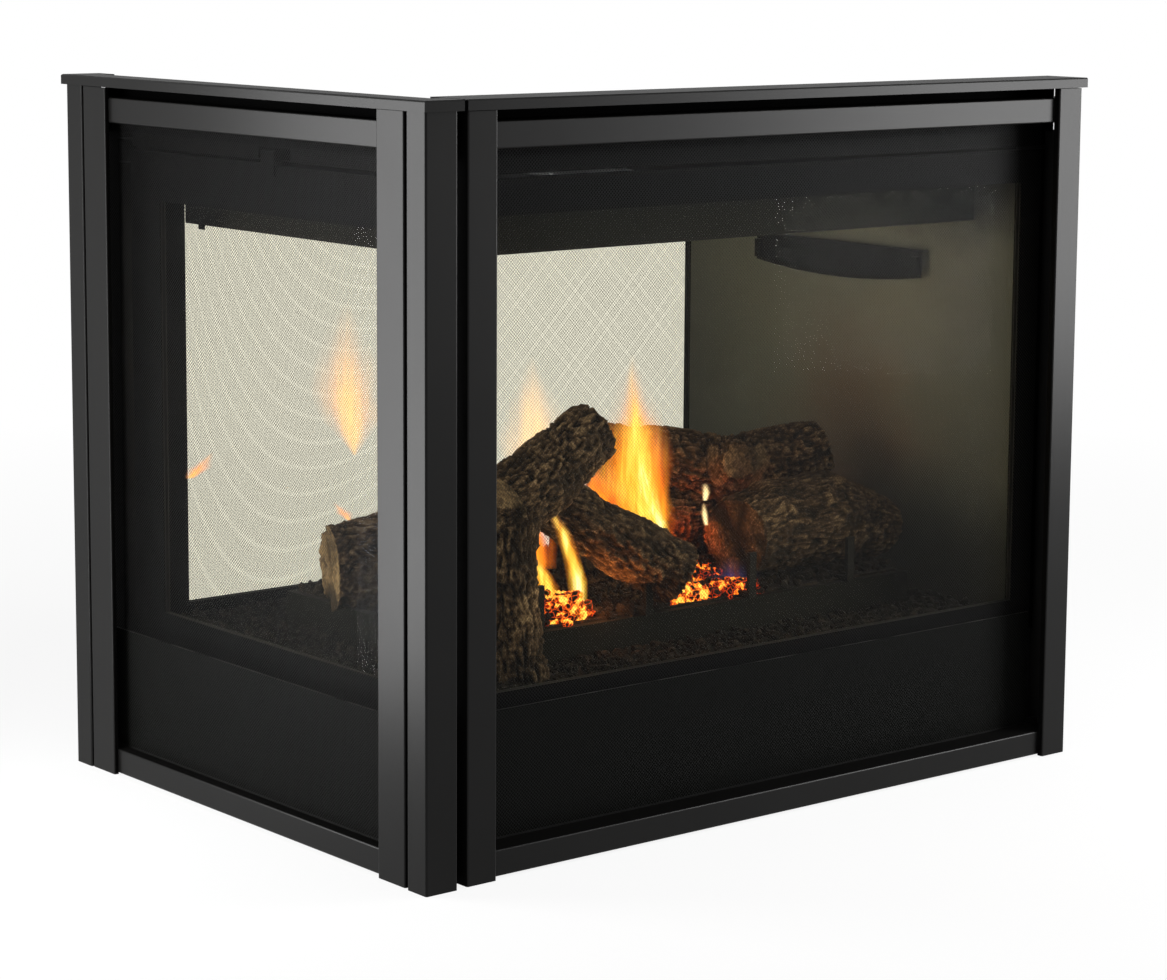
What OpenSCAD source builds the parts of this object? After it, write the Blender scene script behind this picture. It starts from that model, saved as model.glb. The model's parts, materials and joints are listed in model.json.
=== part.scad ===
// Multi-sided gas fireplace: a peninsula firebox glazed on its long front, its short end and its long back.
// Millimetres. X runs along the long side, the front faces -Y, the glazed end faces -X, Z is up from the floor.

/* [Body] */
// Length over the posts, from the glazed end to the closed end
body_w = 1096; // [900:1:1500]
// Depth over the posts, from front face to back face
body_d = 796; // [700:1:1100]
// Height of the front and end trim, up to the underside of the cap's lip
post_h = 917; // [900:1:1200]
// How far the top deck and the back trim lie below the front trim
deck_drop = 59; // [40:1:64]
// Thickness of the sheet steel
sheet_t = 1.5; // [1:0.1:2]
// Outside radius of a folded edge
bend_r = 2.5; // [2.2:0.1:3.5]

/* [Caps] */
// Height of a cap's lip
cap_lip = 13; // [10:0.5:18]
// Overhang of the caps past the posts
cap_over = 5; // [3:0.5:8]
// Depth of the front and back caps
front_cap_d = 73; // [68:1:90]
// Depth of the end cap
end_cap_d = 41; // [38:1:48]
// How far the end cap runs round each corner
end_cap_wrap = 57; // [54:1:64]
// Gap between the end cap and the front cap
cap_gap = 5; // [3:0.5:8]

/* [Corner posts] */
// Width of a corner post on the front or back face
post_front_w = 46; // [40:1:52]
// Width of a corner post on the end face
post_end_w = 38; // [34:1:46]
// Length of the folded returns of a post
post_return = 12; // [8:1:16]

/* [Screens] */
// Width of the stiles on the front and back screens
front_stile_w = 44; // [36:1:56]
// Width of the back screen's stile at the closed end
back_far_stile_w = 12; // [9:1:44]
// Width of the stiles on the end screen
end_stile_w = 55; // [40:1:64]
// Gap between a corner post and the front or back screen
front_post_gap = 14; // [8:0.5:20]
// Gap between a corner post and the end screen
end_post_gap = 4; // [3:0.5:8]
// Height of the top and bottom rails
rail_h = 33; // [26:1:40]
// How far the front and back rails sit behind the stiles
rail_recess = 8; // [5:0.5:12]
// How far the end rails sit behind the stiles
end_rail_recess = 5.5; // [4:0.5:8]
// Height of the bottom rail above the floor
rail_lift = 2.5; // [2:0.5:6]
// Dark gap between the top rail and the underside of the lip
top_gap = 13.5; // [10:0.5:20]
// Depth of the front and back mesh behind the face
front_mesh_in = 45; // [40:0.5:46]
// Depth of the end mesh behind the face
end_mesh_in = 21; // [18:0.5:22]
// Thickness of the mesh sheet
mesh_t = 1.2; // [0.8:0.1:1.5]
// How far the mesh runs on behind a stile
mesh_tuck = 16; // [10:1:20]
// Pitch of the coarse lattice that stands for the fine weave
mesh_pitch = 120; // [110:1:160]
// Width of a strand of the lattice
mesh_strand = 4; // [2:0.5:6]
// Solid border of the mesh
mesh_border = 10; // [8:1:14]
// Gap under the stiles and over them
screen_gap = 1; // [0.6:0.1:1.2]

/* [Lower panels] */
// Height of a lower panel's bottom edge
panel_z0 = 38; // [37:0.5:45]
// Height of a lower panel's top edge
panel_z1 = 194.5; // [186:0.5:200]
// Height of the folded lip on top of the panel
panel_lip = 12; // [8:0.5:16]

/* [Glass] */
// Distance from a face to the front of its glass frame
glass_in = 54; // [53.5:0.5:56]
// Thickness of a glass frame
glass_frame_t = 12; // [11:0.5:14]
// Thickness of the glass
pane_t = 5; // [4:0.5:5.5]
// Thickness of the rope gasket at each side of the glass
gasket_t = 1.5; // [1:0.1:2]
// Depth of the groove that holds the glass
groove = 12; // [8:0.5:16]
// Distance from a face to the first edge of the glass beside a glazed corner
glass_side = 140; // [120:1:160]
// Height of the bottom edge of the front and back glass
front_glass_z0 = 213; // [205:1:225]
// Distance from the deck down to the top edge of the front and back glass
front_glass_drop = 70; // [62:1:84]
// Height of the bottom edge of the end glass
end_glass_z0 = 222; // [205:1:230]
// Distance from the deck down to the top edge of the end glass
end_glass_drop = 89; // [70:1:100]
// Bottom of the glass frames
glass_frame_z0 = 169; // [162:1:180]
// Distance from the deck down to the top of the glass frames
glass_frame_drop = 26; // [24:1:34]

/* [Firebox] */
// Height of the firebox floor
floor_z = 190; // [188:1:200]
// Distance from the deck down to the underside of the firebox ceiling
ceiling_drop = 58; // [52:1:64]
// Height of the skirts that hang from the ceiling
skirt_h = 69; // [50:1:90]
// Distance from the ceiling down to the exhaust baffle
baffle_drop = 118; // [100:1:140]
// Length of the exhaust baffle
baffle_l = 340; // [280:1:400]
// Height of the exhaust baffle in its middle
baffle_h = 50; // [40:1:60]
// Bow of the baffle's bottom edge
baffle_sag = 12; // [6:1:18]
// Distance of the baffle from the end wall
baffle_out = 13; // [10:1:20]
// Distance from the closed end to the inner end wall
end_wall_in = 56; // [45:1:80]
// Leg of the corner columns
column_leg = 30; // [24:1:34]

/* [Vent] */
// Outside diameter of the outer vent collar
outer_collar_d = 203; // [150:1:230]
// Outside diameter of the inner vent collar
inner_collar_d = 127; // [90:1:140]
// Height of the collars above the deck
collar_h = 26; // [20:1:32]

/* [Burner] */
// Distance from the glazed end to the burner tray
tray_end_margin = 215; // [190:1:240]
// Distance from the inner end wall to the burner tray
tray_wall_gap = 65; // [40:1:90]
// Distance from the front face to the burner tray
tray_front_margin = 190; // [170:1:205]
// Height of the burner tray
tray_h = 50; // [44:1:54]
// Distance from the tray's ends to the outer grate bars
grate_margin = 101; // [80:1:120]
// Distance of the lengthwise grate bars from the tray's edge
grate_rail_margin = 58; // [40:1:80]
// Height of the fingers at the grate bars' ends
grate_finger = 62; // [40:1:70]
// Thickness of the grate bars and of the ember bed around them
grate_t = 8; // [6:0.5:10]
// Outside diameter of the burner tube
burner_tube_d = 34; // [28:1:36]
// Depth of the lava rock on the firebox floor
rock_h = 16; // [10:1:20]

/* [Controls] */
// Distance from the closed end to the middle of the gas valve
valve_from_end = 281; // [270:1:300]
// Distance from the front face to the control bracket
bracket_in = 100; // [90:1:120]
// Width of the control bracket
bracket_w = 232; // [220:1:250]
// Height of the control bracket
bracket_h = 138; // [130:1:150]
// Depth of the control bracket's foot
bracket_foot = 60; // [40:1:80]
// Diameter of the gas control knob
pilot_knob_d = 34; // [28:1:36]
// Diameter of the flame height knob
flame_knob_d = 26; // [20:1:28]
// Diameter of a knob's shaft
shaft_d = 8; // [6:0.5:9]
// Radial clearance of shafts and pins in their bores
run_gap = 0.05; // [0.03:0.01:0.08]
// Travel of the igniter button
button_travel = 6; // [4:0.5:6]
// Outside diameter of the gas pipe
gas_pipe_d = 21.3; // [17:0.1:26]
// Bore of the gas inlet, tapped for the supply pipe
inlet_bore_d = 18.6; // [17:0.1:20]
// Depth of the gas inlet
inlet_depth = 20; // [15:1:26]
// Length of the shut-off handle from its stem
handle_l = 60; // [50:1:65]

/* [Fixings] */
// Spacing of the screws along an edge of the end casing
screw_pitch = 190; // [150:1:200]
// Distance of the screws from the casing's edges
screw_edge = 12; // [10:1:16]
// Diameter of a screw
screw_d = 4; // [3:0.5:5]
// Spacing of the floor anchoring holes along the length
anchor_x = 900; // [800:1:940]
// Spacing of the floor anchoring holes across
anchor_y = 560; // [500:1:600]
// Diameter of a floor anchoring hole
anchor_d = 8; // [6:0.5:10]

/* [Hidden] */
$fn = 48;

steel = "#3d3c3a";
trim_steel = "#4a4a48";
inner_steel = "#2b2c28";
bark = "#5a4638";
brass = "#b08d4a";
half_w = body_w / 2;
half_d = body_d / 2;
weld = 0.5;
seat_gap = 0.3;
cap_top = post_h + cap_lip;
post_top = cap_top - sheet_t;
deck_h = post_h - deck_drop;
back_cap_top = deck_h + cap_lip;
ceiling_z = deck_h - ceiling_drop;
skirt_z = ceiling_z - skirt_h;
front_glass_z1 = deck_h - front_glass_drop;
end_glass_z1 = deck_h - end_glass_drop;
glass_frame_z1 = deck_h - glass_frame_drop;

// Widths and ends of the screens, in from the left as each face is looked at along X or Y
front_u0 = -half_w + post_front_w + front_post_gap;
front_u1 = half_w;
end_u = half_d - post_end_w - end_post_gap;
front_wrap = 30;
end_wrap = end_mesh_in - 1;
header_in = front_mesh_in + 4;
end_header_in = end_mesh_in + 9;
front_pan_in = front_mesh_in + 5;
end_pan_in = end_mesh_in + 5;
casing_in = front_mesh_in + screen_gap;
low_screw_z = screw_edge + 3;
high_screw_z = deck_h - screw_edge;
casing_y = half_d - casing_in;
front_far_wrap = casing_in - seat_gap;

// Firebox planes
shell_in = glass_in + glass_frame_t;
shell_x0 = -half_w + shell_in;
shell_y = half_d - shell_in;
end_wall_x = half_w - end_wall_in;
inner_x0 = shell_x0 + sheet_t;
inner_y = shell_y - sheet_t;
skirt_x = -half_w + glass_side;
skirt_y = half_d - glass_side;
flange_in = shell_in - 4;
flange_z0 = glass_frame_z1 + 4;
collar_flange = 15;
glass_outer = glass_in + 16;

// Burner and logs
tray_x0 = -half_w + tray_end_margin;
tray_x1 = end_wall_x - tray_wall_gap;
tray_w = tray_x1 - tray_x0;
tray_y = half_d - tray_front_margin;
tray_top = floor_z + tray_h;
log_seat = tray_top + grate_t + seat_gap;
grate_bars = 4;
ember_edge = 12;
grate_lift = 3;
grate_x0 = tray_x0 + grate_margin;
grate_step = (tray_w - 2 * grate_margin - 15) / (grate_bars - 1);
grate_rail_y = tray_y - grate_rail_margin;
burner_y = 0;
burner_z = floor_z + 25;

// Controls stand behind the front panel, near the closed end
bracket_y = -half_d + bracket_in;
valve_x = half_w - valve_from_end;
bracket_x0 = valve_x - bracket_w / 2 - 1;
bracket_x1 = bracket_x0 + bracket_w;
valve_w = 110;
valve_z0 = 45;
valve_z1 = 115;
valve_d = 62;
control_z = (valve_z0 + valve_z1) / 2;
valve_y = bracket_y + sheet_t;
pilot_x = valve_x - 26;
flame_x = valve_x + 28;
igniter_x = bracket_x0 + 27;
switch_x = bracket_x1 - 24;
feed_x = valve_x + 45;
feed_d = 9.5;
pipe_y = valve_y + 40;
shutoff_x = half_w - 116;
shutoff_size = 44;

// Places what is drawn with its face at y = 0 and its inside towards +y
module on_front() { translate([0, -half_d, 0]) children(); }
module on_back() { mirror([0, 1, 0]) on_front() children(); }
module on_end() { translate([-half_w, 0, 0]) rotate([0, 0, -90]) children(); }

// Block given by its low and high corners
module block(low, high) { translate(low) cube(high - low); }

// Rectangle with round corners
module soft_rect(w, h, r) {
    translate([r, 0]) square([w - 2 * r, h]);
    translate([0, r]) square([w, h - 2 * r]);
    for (x = [r, w - r], y = [r, h - r]) translate([x, y]) circle(r);
}

// Outline, w wide and d deep, with its two front corners round
module folded_outline(w, d, r) {
    translate([0, r]) square([w, d - r]);
    translate([r, 0]) square([w - 2 * r, r]);
    for (x = [r, w - r]) translate([x, r]) circle(r);
}

// Sheet folded to a channel that is open at the back
module folded_channel(w, d) {
    difference() {
        folded_outline(w, d, bend_r);
        translate([sheet_t, sheet_t]) folded_outline(w - 2 * sheet_t, d, bend_r - sheet_t);
    }
}

// Runs a profile drawn as depth and height along X
module along_x(x0, x1) { translate([x0, 0, 0]) rotate([90, 0, 90]) linear_extrude(x1 - x0) children(); }

// Bar of round section between two points, with round joints along a route
module rod(a, b, d) {
    v = b - a;
    translate(a) rotate([0, acos(v.z / norm(v)), atan2(v.y, v.x)]) cylinder(h = norm(v), d = d);
}
module tube_route(points, d) {
    for (i = [0 : len(points) - 2]) rod(points[i], points[i + 1], d);
    for (i = [1 : len(points) - 2]) translate(points[i]) sphere(d = d);
}

// Casing and deck

module base_pan() {
    lip_z = panel_z0 + 4;
    color(inner_steel) difference() {
        union() {
            block([-half_w + end_pan_in, -half_d + front_pan_in, 0], [half_w - sheet_t, half_d - front_pan_in, sheet_t]);
            for (side = [0, 1]) mirror([0, side, 0]) {
                block([-half_w + sheet_t, -half_d + sheet_t, 0],
                      [-half_w + post_front_w - sheet_t, -half_d + post_end_w - sheet_t, sheet_t]);
                block([-half_w + end_wrap + 3, -half_d + post_end_w - 10, 0],
                      [-half_w + post_front_w - sheet_t, -half_d + front_pan_in + weld, sheet_t]);
                block([-half_w + post_front_w + 10, -half_d + front_pan_in, 0],
                      [half_w - sheet_t, -half_d + front_pan_in + sheet_t, lip_z]);
            }
            block([-half_w + end_pan_in, -half_d + front_pan_in, 0],
                  [-half_w + end_pan_in + sheet_t, half_d - front_pan_in, lip_z]);
            block([half_w - 2 * sheet_t, -inner_y + 1, 0], [half_w - sheet_t, inner_y - 1, 30]);
        }
        for (x = [-1, 1], y = [-1, 1]) translate([x * anchor_x / 2, y * anchor_y / 2, -1]) cylinder(h = 5, d = anchor_d);
        low_screws(screw_d + 0.4, 8);
    }
}

module end_casing() {
    color(trim_steel) difference() {
        union() {
            block([half_w - sheet_t, -casing_y, 0], [half_w, casing_y, deck_h - sheet_t]);
            for (side = [0, 1]) mirror([0, side, 0])
                block([end_wall_x + sheet_t, -shell_y, sheet_t], [half_w - sheet_t + weld, -inner_y, deck_h - sheet_t]);
        }
        translate([half_w - 5, pipe_y, control_z]) rotate([0, 90, 0]) cylinder(h = 10, d = gas_pipe_d + 12.7);
        low_screws(screw_d + 0.4, 8);
        high_screws(screw_d + 0.4, 8);
        for (side = [0, 1]) mirror([0, side, 0]) block([half_w - 2 * sheet_t, -half_d + front_pan_in - 1, -1], [half_w - sheet_t, -half_d + front_pan_in, 1]);
    }
}

module low_screws(d, l) {
    for (y = [-1.5 : 1 : 1.5]) translate([half_w - l + 0.01, y * screw_pitch, low_screw_z]) rotate([0, 90, 0]) cylinder(h = l, d = d);
}

module high_screws(d, l) {
    for (y = [-1.5 : 1 : 1.5]) translate([half_w - l + 0.01, y * screw_pitch, high_screw_z]) rotate([0, 90, 0]) cylinder(h = l, d = d);
}

module screws() {
    color("silver") for (z = [low_screw_z, high_screw_z], y = [-1.5 : 1 : 1.5]) translate([half_w, y * screw_pitch, z]) rotate([0, 90, 0]) {
        translate([0, 0, -6]) cylinder(h = 6.5, d = screw_d);
        cylinder(h = 2.2, d = 8.5);
    }
}

module top_deck() {
    color(steel) difference() {
        union() {
            block([-half_w + end_header_in, -half_d + header_in, deck_h - sheet_t], [half_w, half_d - header_in, deck_h]);
            for (side = [0, 1]) mirror([0, side, 0])
                block([-half_w + flange_in, -half_d + flange_in, flange_z0], [half_w - 2 * sheet_t, -half_d + flange_in + sheet_t, deck_h - weld]);
            block([-half_w + flange_in, -half_d + flange_in, flange_z0], [-half_w + flange_in + sheet_t, half_d - flange_in, deck_h - weld]);
            block([half_w - 2 * sheet_t, -inner_y + 1, flange_z0], [half_w - sheet_t, inner_y - 1, deck_h - weld]);
            block([front_u0 + 12, half_d - header_in - sheet_t, deck_h - 20], [half_w - 2 * sheet_t, half_d - header_in, deck_h - weld]);
        }
        translate([0, 0, deck_h - 5]) cylinder(h = 10, d = outer_collar_d + 1, $fn = 96);
        latch_slot();
        high_screws(screw_d + 0.4, 8);
    }
    color(steel) for (y = [-1, 1]) latch_ear(y * latch_ear_y);
}

// Upper latch of the end glass: its slot in the deck's flange and the two ears that hold it
latch_ear_y = 19;
latch_in = glass_in + 2;
latch_z = flange_z0 + 10;
latch_pin_d = 4;
module latch_slot() {
    block([-half_w + flange_in - 1, -34, flange_z0 + 2], [-half_w + flange_in + sheet_t + 1, 34, deck_h - 2 * sheet_t]);
}
module latch_ear(y) {
    difference() {
        block([-half_w + latch_in - 6, y - 1, latch_z - 6], [-half_w + latch_in + 6, y + 1, deck_h - weld]);
        translate([-half_w + latch_in, y - 5, latch_z]) rotate([-90, 0, 0]) cylinder(h = 10, d = latch_pin_d + 2 * run_gap);
    }
}

module corner_post() {
    linear_extrude(post_top) translate([-half_w, -half_d]) difference() {
        soft_rect(post_front_w, post_end_w, bend_r);
        translate([sheet_t, sheet_t]) soft_rect(post_front_w - 2 * sheet_t, post_end_w - 2 * sheet_t, bend_r - sheet_t);
        translate([post_return, post_return]) square([post_front_w, post_end_w]);
    }
}

module corner_post_near() { color(trim_steel) corner_post(); }
module corner_post_far() { color(trim_steel) mirror([0, 1, 0]) corner_post(); }

// Straight cap: a shallow tray turned upside down, with a soft front edge
module long_cap(top) {
    x0 = -half_w - cap_over + end_cap_wrap + cap_gap;
    x1 = half_w + cap_over;
    y0 = -half_d - cap_over;
    difference() {
        translate([0, y0, top]) along_x(x0, x1) mirror([0, 1]) folded_outline_side(front_cap_d, cap_lip);
        block([x0 + sheet_t, y0 + sheet_t, top - cap_lip - 1], [x1 - sheet_t, y0 + front_cap_d - sheet_t, top - sheet_t]);
    }
}

module folded_outline_side(w, h) {
    translate([bend_r, 0]) square([w - bend_r, h]);
    translate([0, bend_r]) square([w, h - bend_r]);
    translate([bend_r, bend_r]) circle(bend_r);
}

module front_cap() { color(trim_steel) long_cap(cap_top); }
module back_cap() { color(trim_steel) mirror([0, 1, 0]) long_cap(back_cap_top); }

module end_cap_plan(inset) {
    x0 = -half_w - cap_over + inset;
    y1 = half_d + cap_over - inset;
    limb = end_cap_d - 2 * inset;
    translate([x0, -y1]) difference() {
        square([end_cap_wrap - 2 * inset, 2 * y1]);
        translate([limb, limb]) square([end_cap_wrap, 2 * (y1 - limb)]);
    }
}

module end_cap() {
    y1 = half_d + cap_over;
    color(trim_steel) difference() {
        intersection() {
            translate([0, 0, post_h]) linear_extrude(cap_lip) end_cap_plan(0);
            translate([0, -y1, cap_top]) along_x(-body_w, body_w) mirror([0, 1]) folded_outline_ends(2 * y1, 2 * cap_lip);
            translate([-half_w - cap_over, y1, cap_top]) rotate([90, 0, 0]) linear_extrude(2 * y1) mirror([0, 1]) folded_outline_side(body_w, 2 * cap_lip);
        }
        translate([0, 0, post_h - 1]) linear_extrude(cap_lip - sheet_t + 1) end_cap_plan(sheet_t);
    }
}

module folded_outline_ends(w, h) { folded_outline(w, h, bend_r); }

// Upright sheets on the deck's edge that carry the front and end caps
module cap_header() {
    front_y = -half_d + header_in;
    front_lip_y = -half_d - cap_over + front_cap_d - sheet_t;
    end_cap_x = -half_w - cap_over + end_cap_d;
    front_cap_x = -half_w - cap_over + end_cap_wrap + cap_gap;
    end_x = -half_w + end_header_in;
    color(steel) {
        difference() {
            union() {
                block([end_x, front_y, deck_h], [half_w - sheet_t, front_y + sheet_t, post_top]);
                block([end_x, front_y, post_top - sheet_t], [half_w - sheet_t, front_lip_y - seat_gap, post_top]);
            }
            block([end_cap_x - sheet_t - seat_gap, front_y - 1, post_h - seat_gap], [front_cap_x + sheet_t + seat_gap, front_lip_y, cap_top]);
        }
        block([end_x, front_y, deck_h], [half_w - sheet_t, front_y + 15, deck_h + sheet_t]);
        block([end_x, front_y, deck_h], [end_x + sheet_t, -front_y, post_top]);
        block([-half_w + end_cap_d - cap_over - 12, front_y, post_top - sheet_t], [end_x + sheet_t, -front_y, post_top]);
        block([end_x, front_y, deck_h], [end_x + 15, -front_y, deck_h + sheet_t]);
    }
}

module column() {
    color(inner_steel) {
        block([shell_x0, -shell_y, sheet_t], [shell_x0 + column_leg, -inner_y, deck_h - sheet_t]);
        block([shell_x0, -shell_y, sheet_t], [inner_x0, -shell_y + column_leg, deck_h - sheet_t]);
    }
}

module column_near() { column(); }
module column_far() { mirror([0, 1, 0]) column(); }

// Firebox

module firebox_floor() {
    flange_low = floor_z - 60;
    color(inner_steel) difference() {
        union() {
            block([inner_x0, -inner_y, floor_z - sheet_t], [end_wall_x, inner_y, floor_z]);
            for (side = [0, 1]) mirror([0, side, 0])
                block([shell_x0 + column_leg + 1, -shell_y, flange_low], [end_wall_x, -inner_y + weld, floor_z]);
            block([shell_x0, -shell_y + column_leg + 1, flange_low], [inner_x0 + weld, shell_y - column_leg - 1, floor_z]);
        }
        translate([feed_x, burner_y, floor_z - 5]) cylinder(h = 10, d = feed_d + 5);
        for (side = [0, 1]) mirror([0, side, 0])
            translate([0, -shell_y - 5, cam_z]) rotate([-90, 0, 0]) cylinder(h = 10, d = cam_pin_d + 2 * run_gap);
    }
}

module firebox_end_wall() {
    color(inner_steel) block([end_wall_x, -shell_y, floor_z - sheet_t], [end_wall_x + sheet_t, shell_y, deck_h - sheet_t]);
}

module firebox_ceiling() {
    color(inner_steel) difference() {
        union() {
            block([inner_x0, -inner_y, ceiling_z], [end_wall_x, inner_y, ceiling_z + sheet_t]);
            block([skirt_x, -inner_y, skirt_z], [skirt_x + sheet_t, inner_y, ceiling_z + weld]);
            for (side = [0, 1]) mirror([0, side, 0])
                block([skirt_x, -skirt_y, skirt_z], [end_wall_x, -skirt_y + sheet_t, ceiling_z + weld]);
            block([skirt_x, inner_y - 46, skirt_z - 6], [skirt_x + sheet_t, inner_y - 32, skirt_z + weld]);
        }
        translate([0, 0, ceiling_z - 1]) cylinder(h = 5, d = inner_collar_d - 3, $fn = 96);
    }
}

// Bowed deflector on the closed end's wall, hung on two hooks
module exhaust_baffle() {
    half_l = baffle_l / 2;
    top = ceiling_z - baffle_drop;
    arc_r = (half_l * half_l + baffle_sag * baffle_sag) / (2 * baffle_sag);
    x0 = end_wall_x - baffle_out;
    color(inner_steel) {
        translate([x0, 0, 0]) rotate([90, 0, 90]) linear_extrude(sheet_t) intersection() {
            translate([-half_l, top - baffle_h]) square([baffle_l, baffle_h]);
            translate([0, top - baffle_h + arc_r]) circle(arc_r, $fn = 360);
        }
        block([x0, -half_l, top - sheet_t], [end_wall_x, half_l, top]);
        for (y = [-1, 1]) block([x0 - 7, y * (half_l - 8) - 5, top - 34], [x0 + weld, y * (half_l - 8) + 5, top - 8]);
    }
}

module collar(outer_d, wall, z0, seat_z, z1) {
    difference() {
        union() {
            translate([0, 0, z0]) cylinder(h = z1 - z0, d = outer_d, $fn = 96);
            translate([0, 0, seat_z]) cylinder(h = sheet_t, d = outer_d + 2 * collar_flange, $fn = 96);
        }
        translate([0, 0, z0 - 1]) cylinder(h = z1 - z0 + 2, d = outer_d - 2 * wall, $fn = 96);
    }
}

module outer_vent_collar() { color("lightgray") collar(outer_collar_d, sheet_t, deck_h, deck_h, deck_h + collar_h); }
module inner_vent_collar() {
    base = ceiling_z + sheet_t;
    color("lightgray") collar(inner_collar_d, sheet_t, base, base, deck_h + collar_h + 5);
}

// Glass: a channel frame with a groove, the gasket in the groove and the pane in the gasket

module opening_block(u0, u1, z0, z1, grow, d0, d1) { block([u0 - grow, d0, z0 - grow], [u1 + grow, d1, z1 + grow]); }

module glass_frame(outer0, outer1, u0, u1, z0, z1) {
    mid = glass_in + glass_frame_t / 2;
    half_groove = pane_t / 2 + gasket_t;
    difference() {
        block([outer0, glass_in, glass_frame_z0], [outer1, shell_in, glass_frame_z1]);
        opening_block(u0, u1, z0, z1, 0, glass_in - 1, shell_in + 1);
        opening_block(u0, u1, z0, z1, groove, mid - half_groove, mid + half_groove);
    }
}

module gasket(u0, u1, z0, z1) {
    mid = glass_in + glass_frame_t / 2;
    difference() {
        opening_block(u0, u1, z0, z1, groove, mid - pane_t / 2 - gasket_t, mid + pane_t / 2 + gasket_t);
        opening_block(u0, u1, z0, z1, 0, glass_in, shell_in);
        opening_block(u0, u1, z0, z1, groove - gasket_t, mid - pane_t / 2, mid + pane_t / 2);
    }
}

module pane(u0, u1, z0, z1) {
    mid = glass_in + glass_frame_t / 2;
    opening_block(u0, u1, z0, z1, groove - gasket_t, mid - pane_t / 2, mid + pane_t / 2);
}

front_glass_u0 = -half_w + glass_side;
front_glass_u1 = end_wall_x;
end_glass_u = half_d - glass_side;
front_frame_u0 = -half_w + glass_outer;
front_frame_u1 = end_wall_x + 44;
end_frame_u = half_d - glass_outer;

module front_glass_frame() { color(inner_steel) on_front() glass_frame(front_frame_u0, front_frame_u1, front_glass_u0, front_glass_u1, front_glass_z0, front_glass_z1); }
module back_glass_frame() { color(inner_steel) on_back() glass_frame(front_frame_u0, front_frame_u1, front_glass_u0, front_glass_u1, front_glass_z0, front_glass_z1); }
module end_glass_frame() { color(inner_steel) on_end() glass_frame(-end_frame_u, end_frame_u, -end_glass_u, end_glass_u, end_glass_z0, end_glass_z1); }
module front_glass() { color("#c8d8d8", 0.15) on_front() pane(front_glass_u0, front_glass_u1, front_glass_z0, front_glass_z1); }
module back_glass() { color("#c8d8d8", 0.15) on_back() pane(front_glass_u0, front_glass_u1, front_glass_z0, front_glass_z1); }
module end_glass() { color("#c8d8d8", 0.15) on_end() pane(-end_glass_u, end_glass_u, end_glass_z0, end_glass_z1); }
module glass_gaskets() {
    color("dimgray") {
        on_front() gasket(front_glass_u0, front_glass_u1, front_glass_z0, front_glass_z1);
        on_back() gasket(front_glass_u0, front_glass_u1, front_glass_z0, front_glass_z1);
        on_end() gasket(-end_glass_u, end_glass_u, end_glass_z0, end_glass_z1);
    }
}

// Turn button under the front or back glass frame, on a pin through the firebox floor's flange
cam_z = glass_frame_z0 - 17;
cam_pin_d = 6;
cam_l = 60;
cam_w = 14;
module turn_latch() {
    color("silver") on_front() {
        translate([-cam_w / 2, glass_in - 3, cam_z - cam_l / 2 + 2]) cube([cam_w, 2.5, cam_l]);
        translate([0, glass_in - 3, cam_z]) rotate([-90, 0, 0]) cylinder(h = glass_frame_t + 5 + sheet_t, d = cam_pin_d);
        translate([0, glass_in - 4, cam_z]) rotate([-90, 0, 0]) cylinder(h = 3, d = 12);
        translate([0, shell_in + sheet_t + weld + seat_gap, cam_z]) rotate([-90, 0, 0]) cylinder(h = 1.5, d = 10);
    }
}
module front_latch() { turn_latch(); }
module back_latch() { mirror([0, 1, 0]) turn_latch(); }

// Spring lever over the top edge of the end glass frame
module end_latch() {
    x = -half_w + latch_in;
    color("silver") {
        translate([x, -latch_ear_y - 1.5, latch_z]) rotate([-90, 0, 0]) cylinder(h = 2 * latch_ear_y + 3, d = latch_pin_d);
        translate([x, -latch_ear_y + 1.3, latch_z]) rotate([-90, 0, 0]) cylinder(h = 2 * latch_ear_y - 2.6, d = 8);
        block([x - 5.5, -15, glass_frame_z1 - 14], [x - 3, 15, latch_z + 3]);
    }
}

// Screens

module stile(w, wrap, recess, z0, z1) {
    translate([0, 0, z0]) linear_extrude(z1 - z0) difference() {
        folded_channel(w, wrap);
        translate([w / 2, recess + weld]) square([w, wrap]);
    }
}

module rail(u0, u1, z0, recess, depth) {
    along_x(u0, u1) translate([recess, z0]) mirror([1, -1]) folded_channel(rail_h, depth - recess);
}

// Whole frame of one screen, with its hook flange reaching back to hook_in
module screen_frame(u0, u1, stile_w, far_stile_w, wrap0, wrap1, recess, mesh_in, hook_in, top) {
    inner0 = u0 + sheet_t - weld;
    inner1 = u1 - sheet_t + weld;
    top_rail_z = top - top_gap - rail_h;
    translate([u0, 0, 0]) stile(stile_w, wrap0, recess, screen_gap, top - screen_gap);
    translate([u1, 0, 0]) mirror([1, 0, 0]) stile(far_stile_w, wrap1, recess, screen_gap, top - screen_gap);
    rail(inner0, inner1, rail_lift, recess, mesh_in);
    rail(inner0, inner1, top_rail_z, recess, mesh_in);
    block([inner0 + 10, mesh_in - 10, top_rail_z + rail_h - sheet_t], [inner1 - 10, hook_in, top_rail_z + rail_h]);
}

module long_screen_frame(far_stile_w, top) {
    screen_frame(front_u0, front_u1, front_stile_w, far_stile_w, front_wrap, front_far_wrap, rail_recess, front_mesh_in,
        header_in - seat_gap, top);
}

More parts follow.
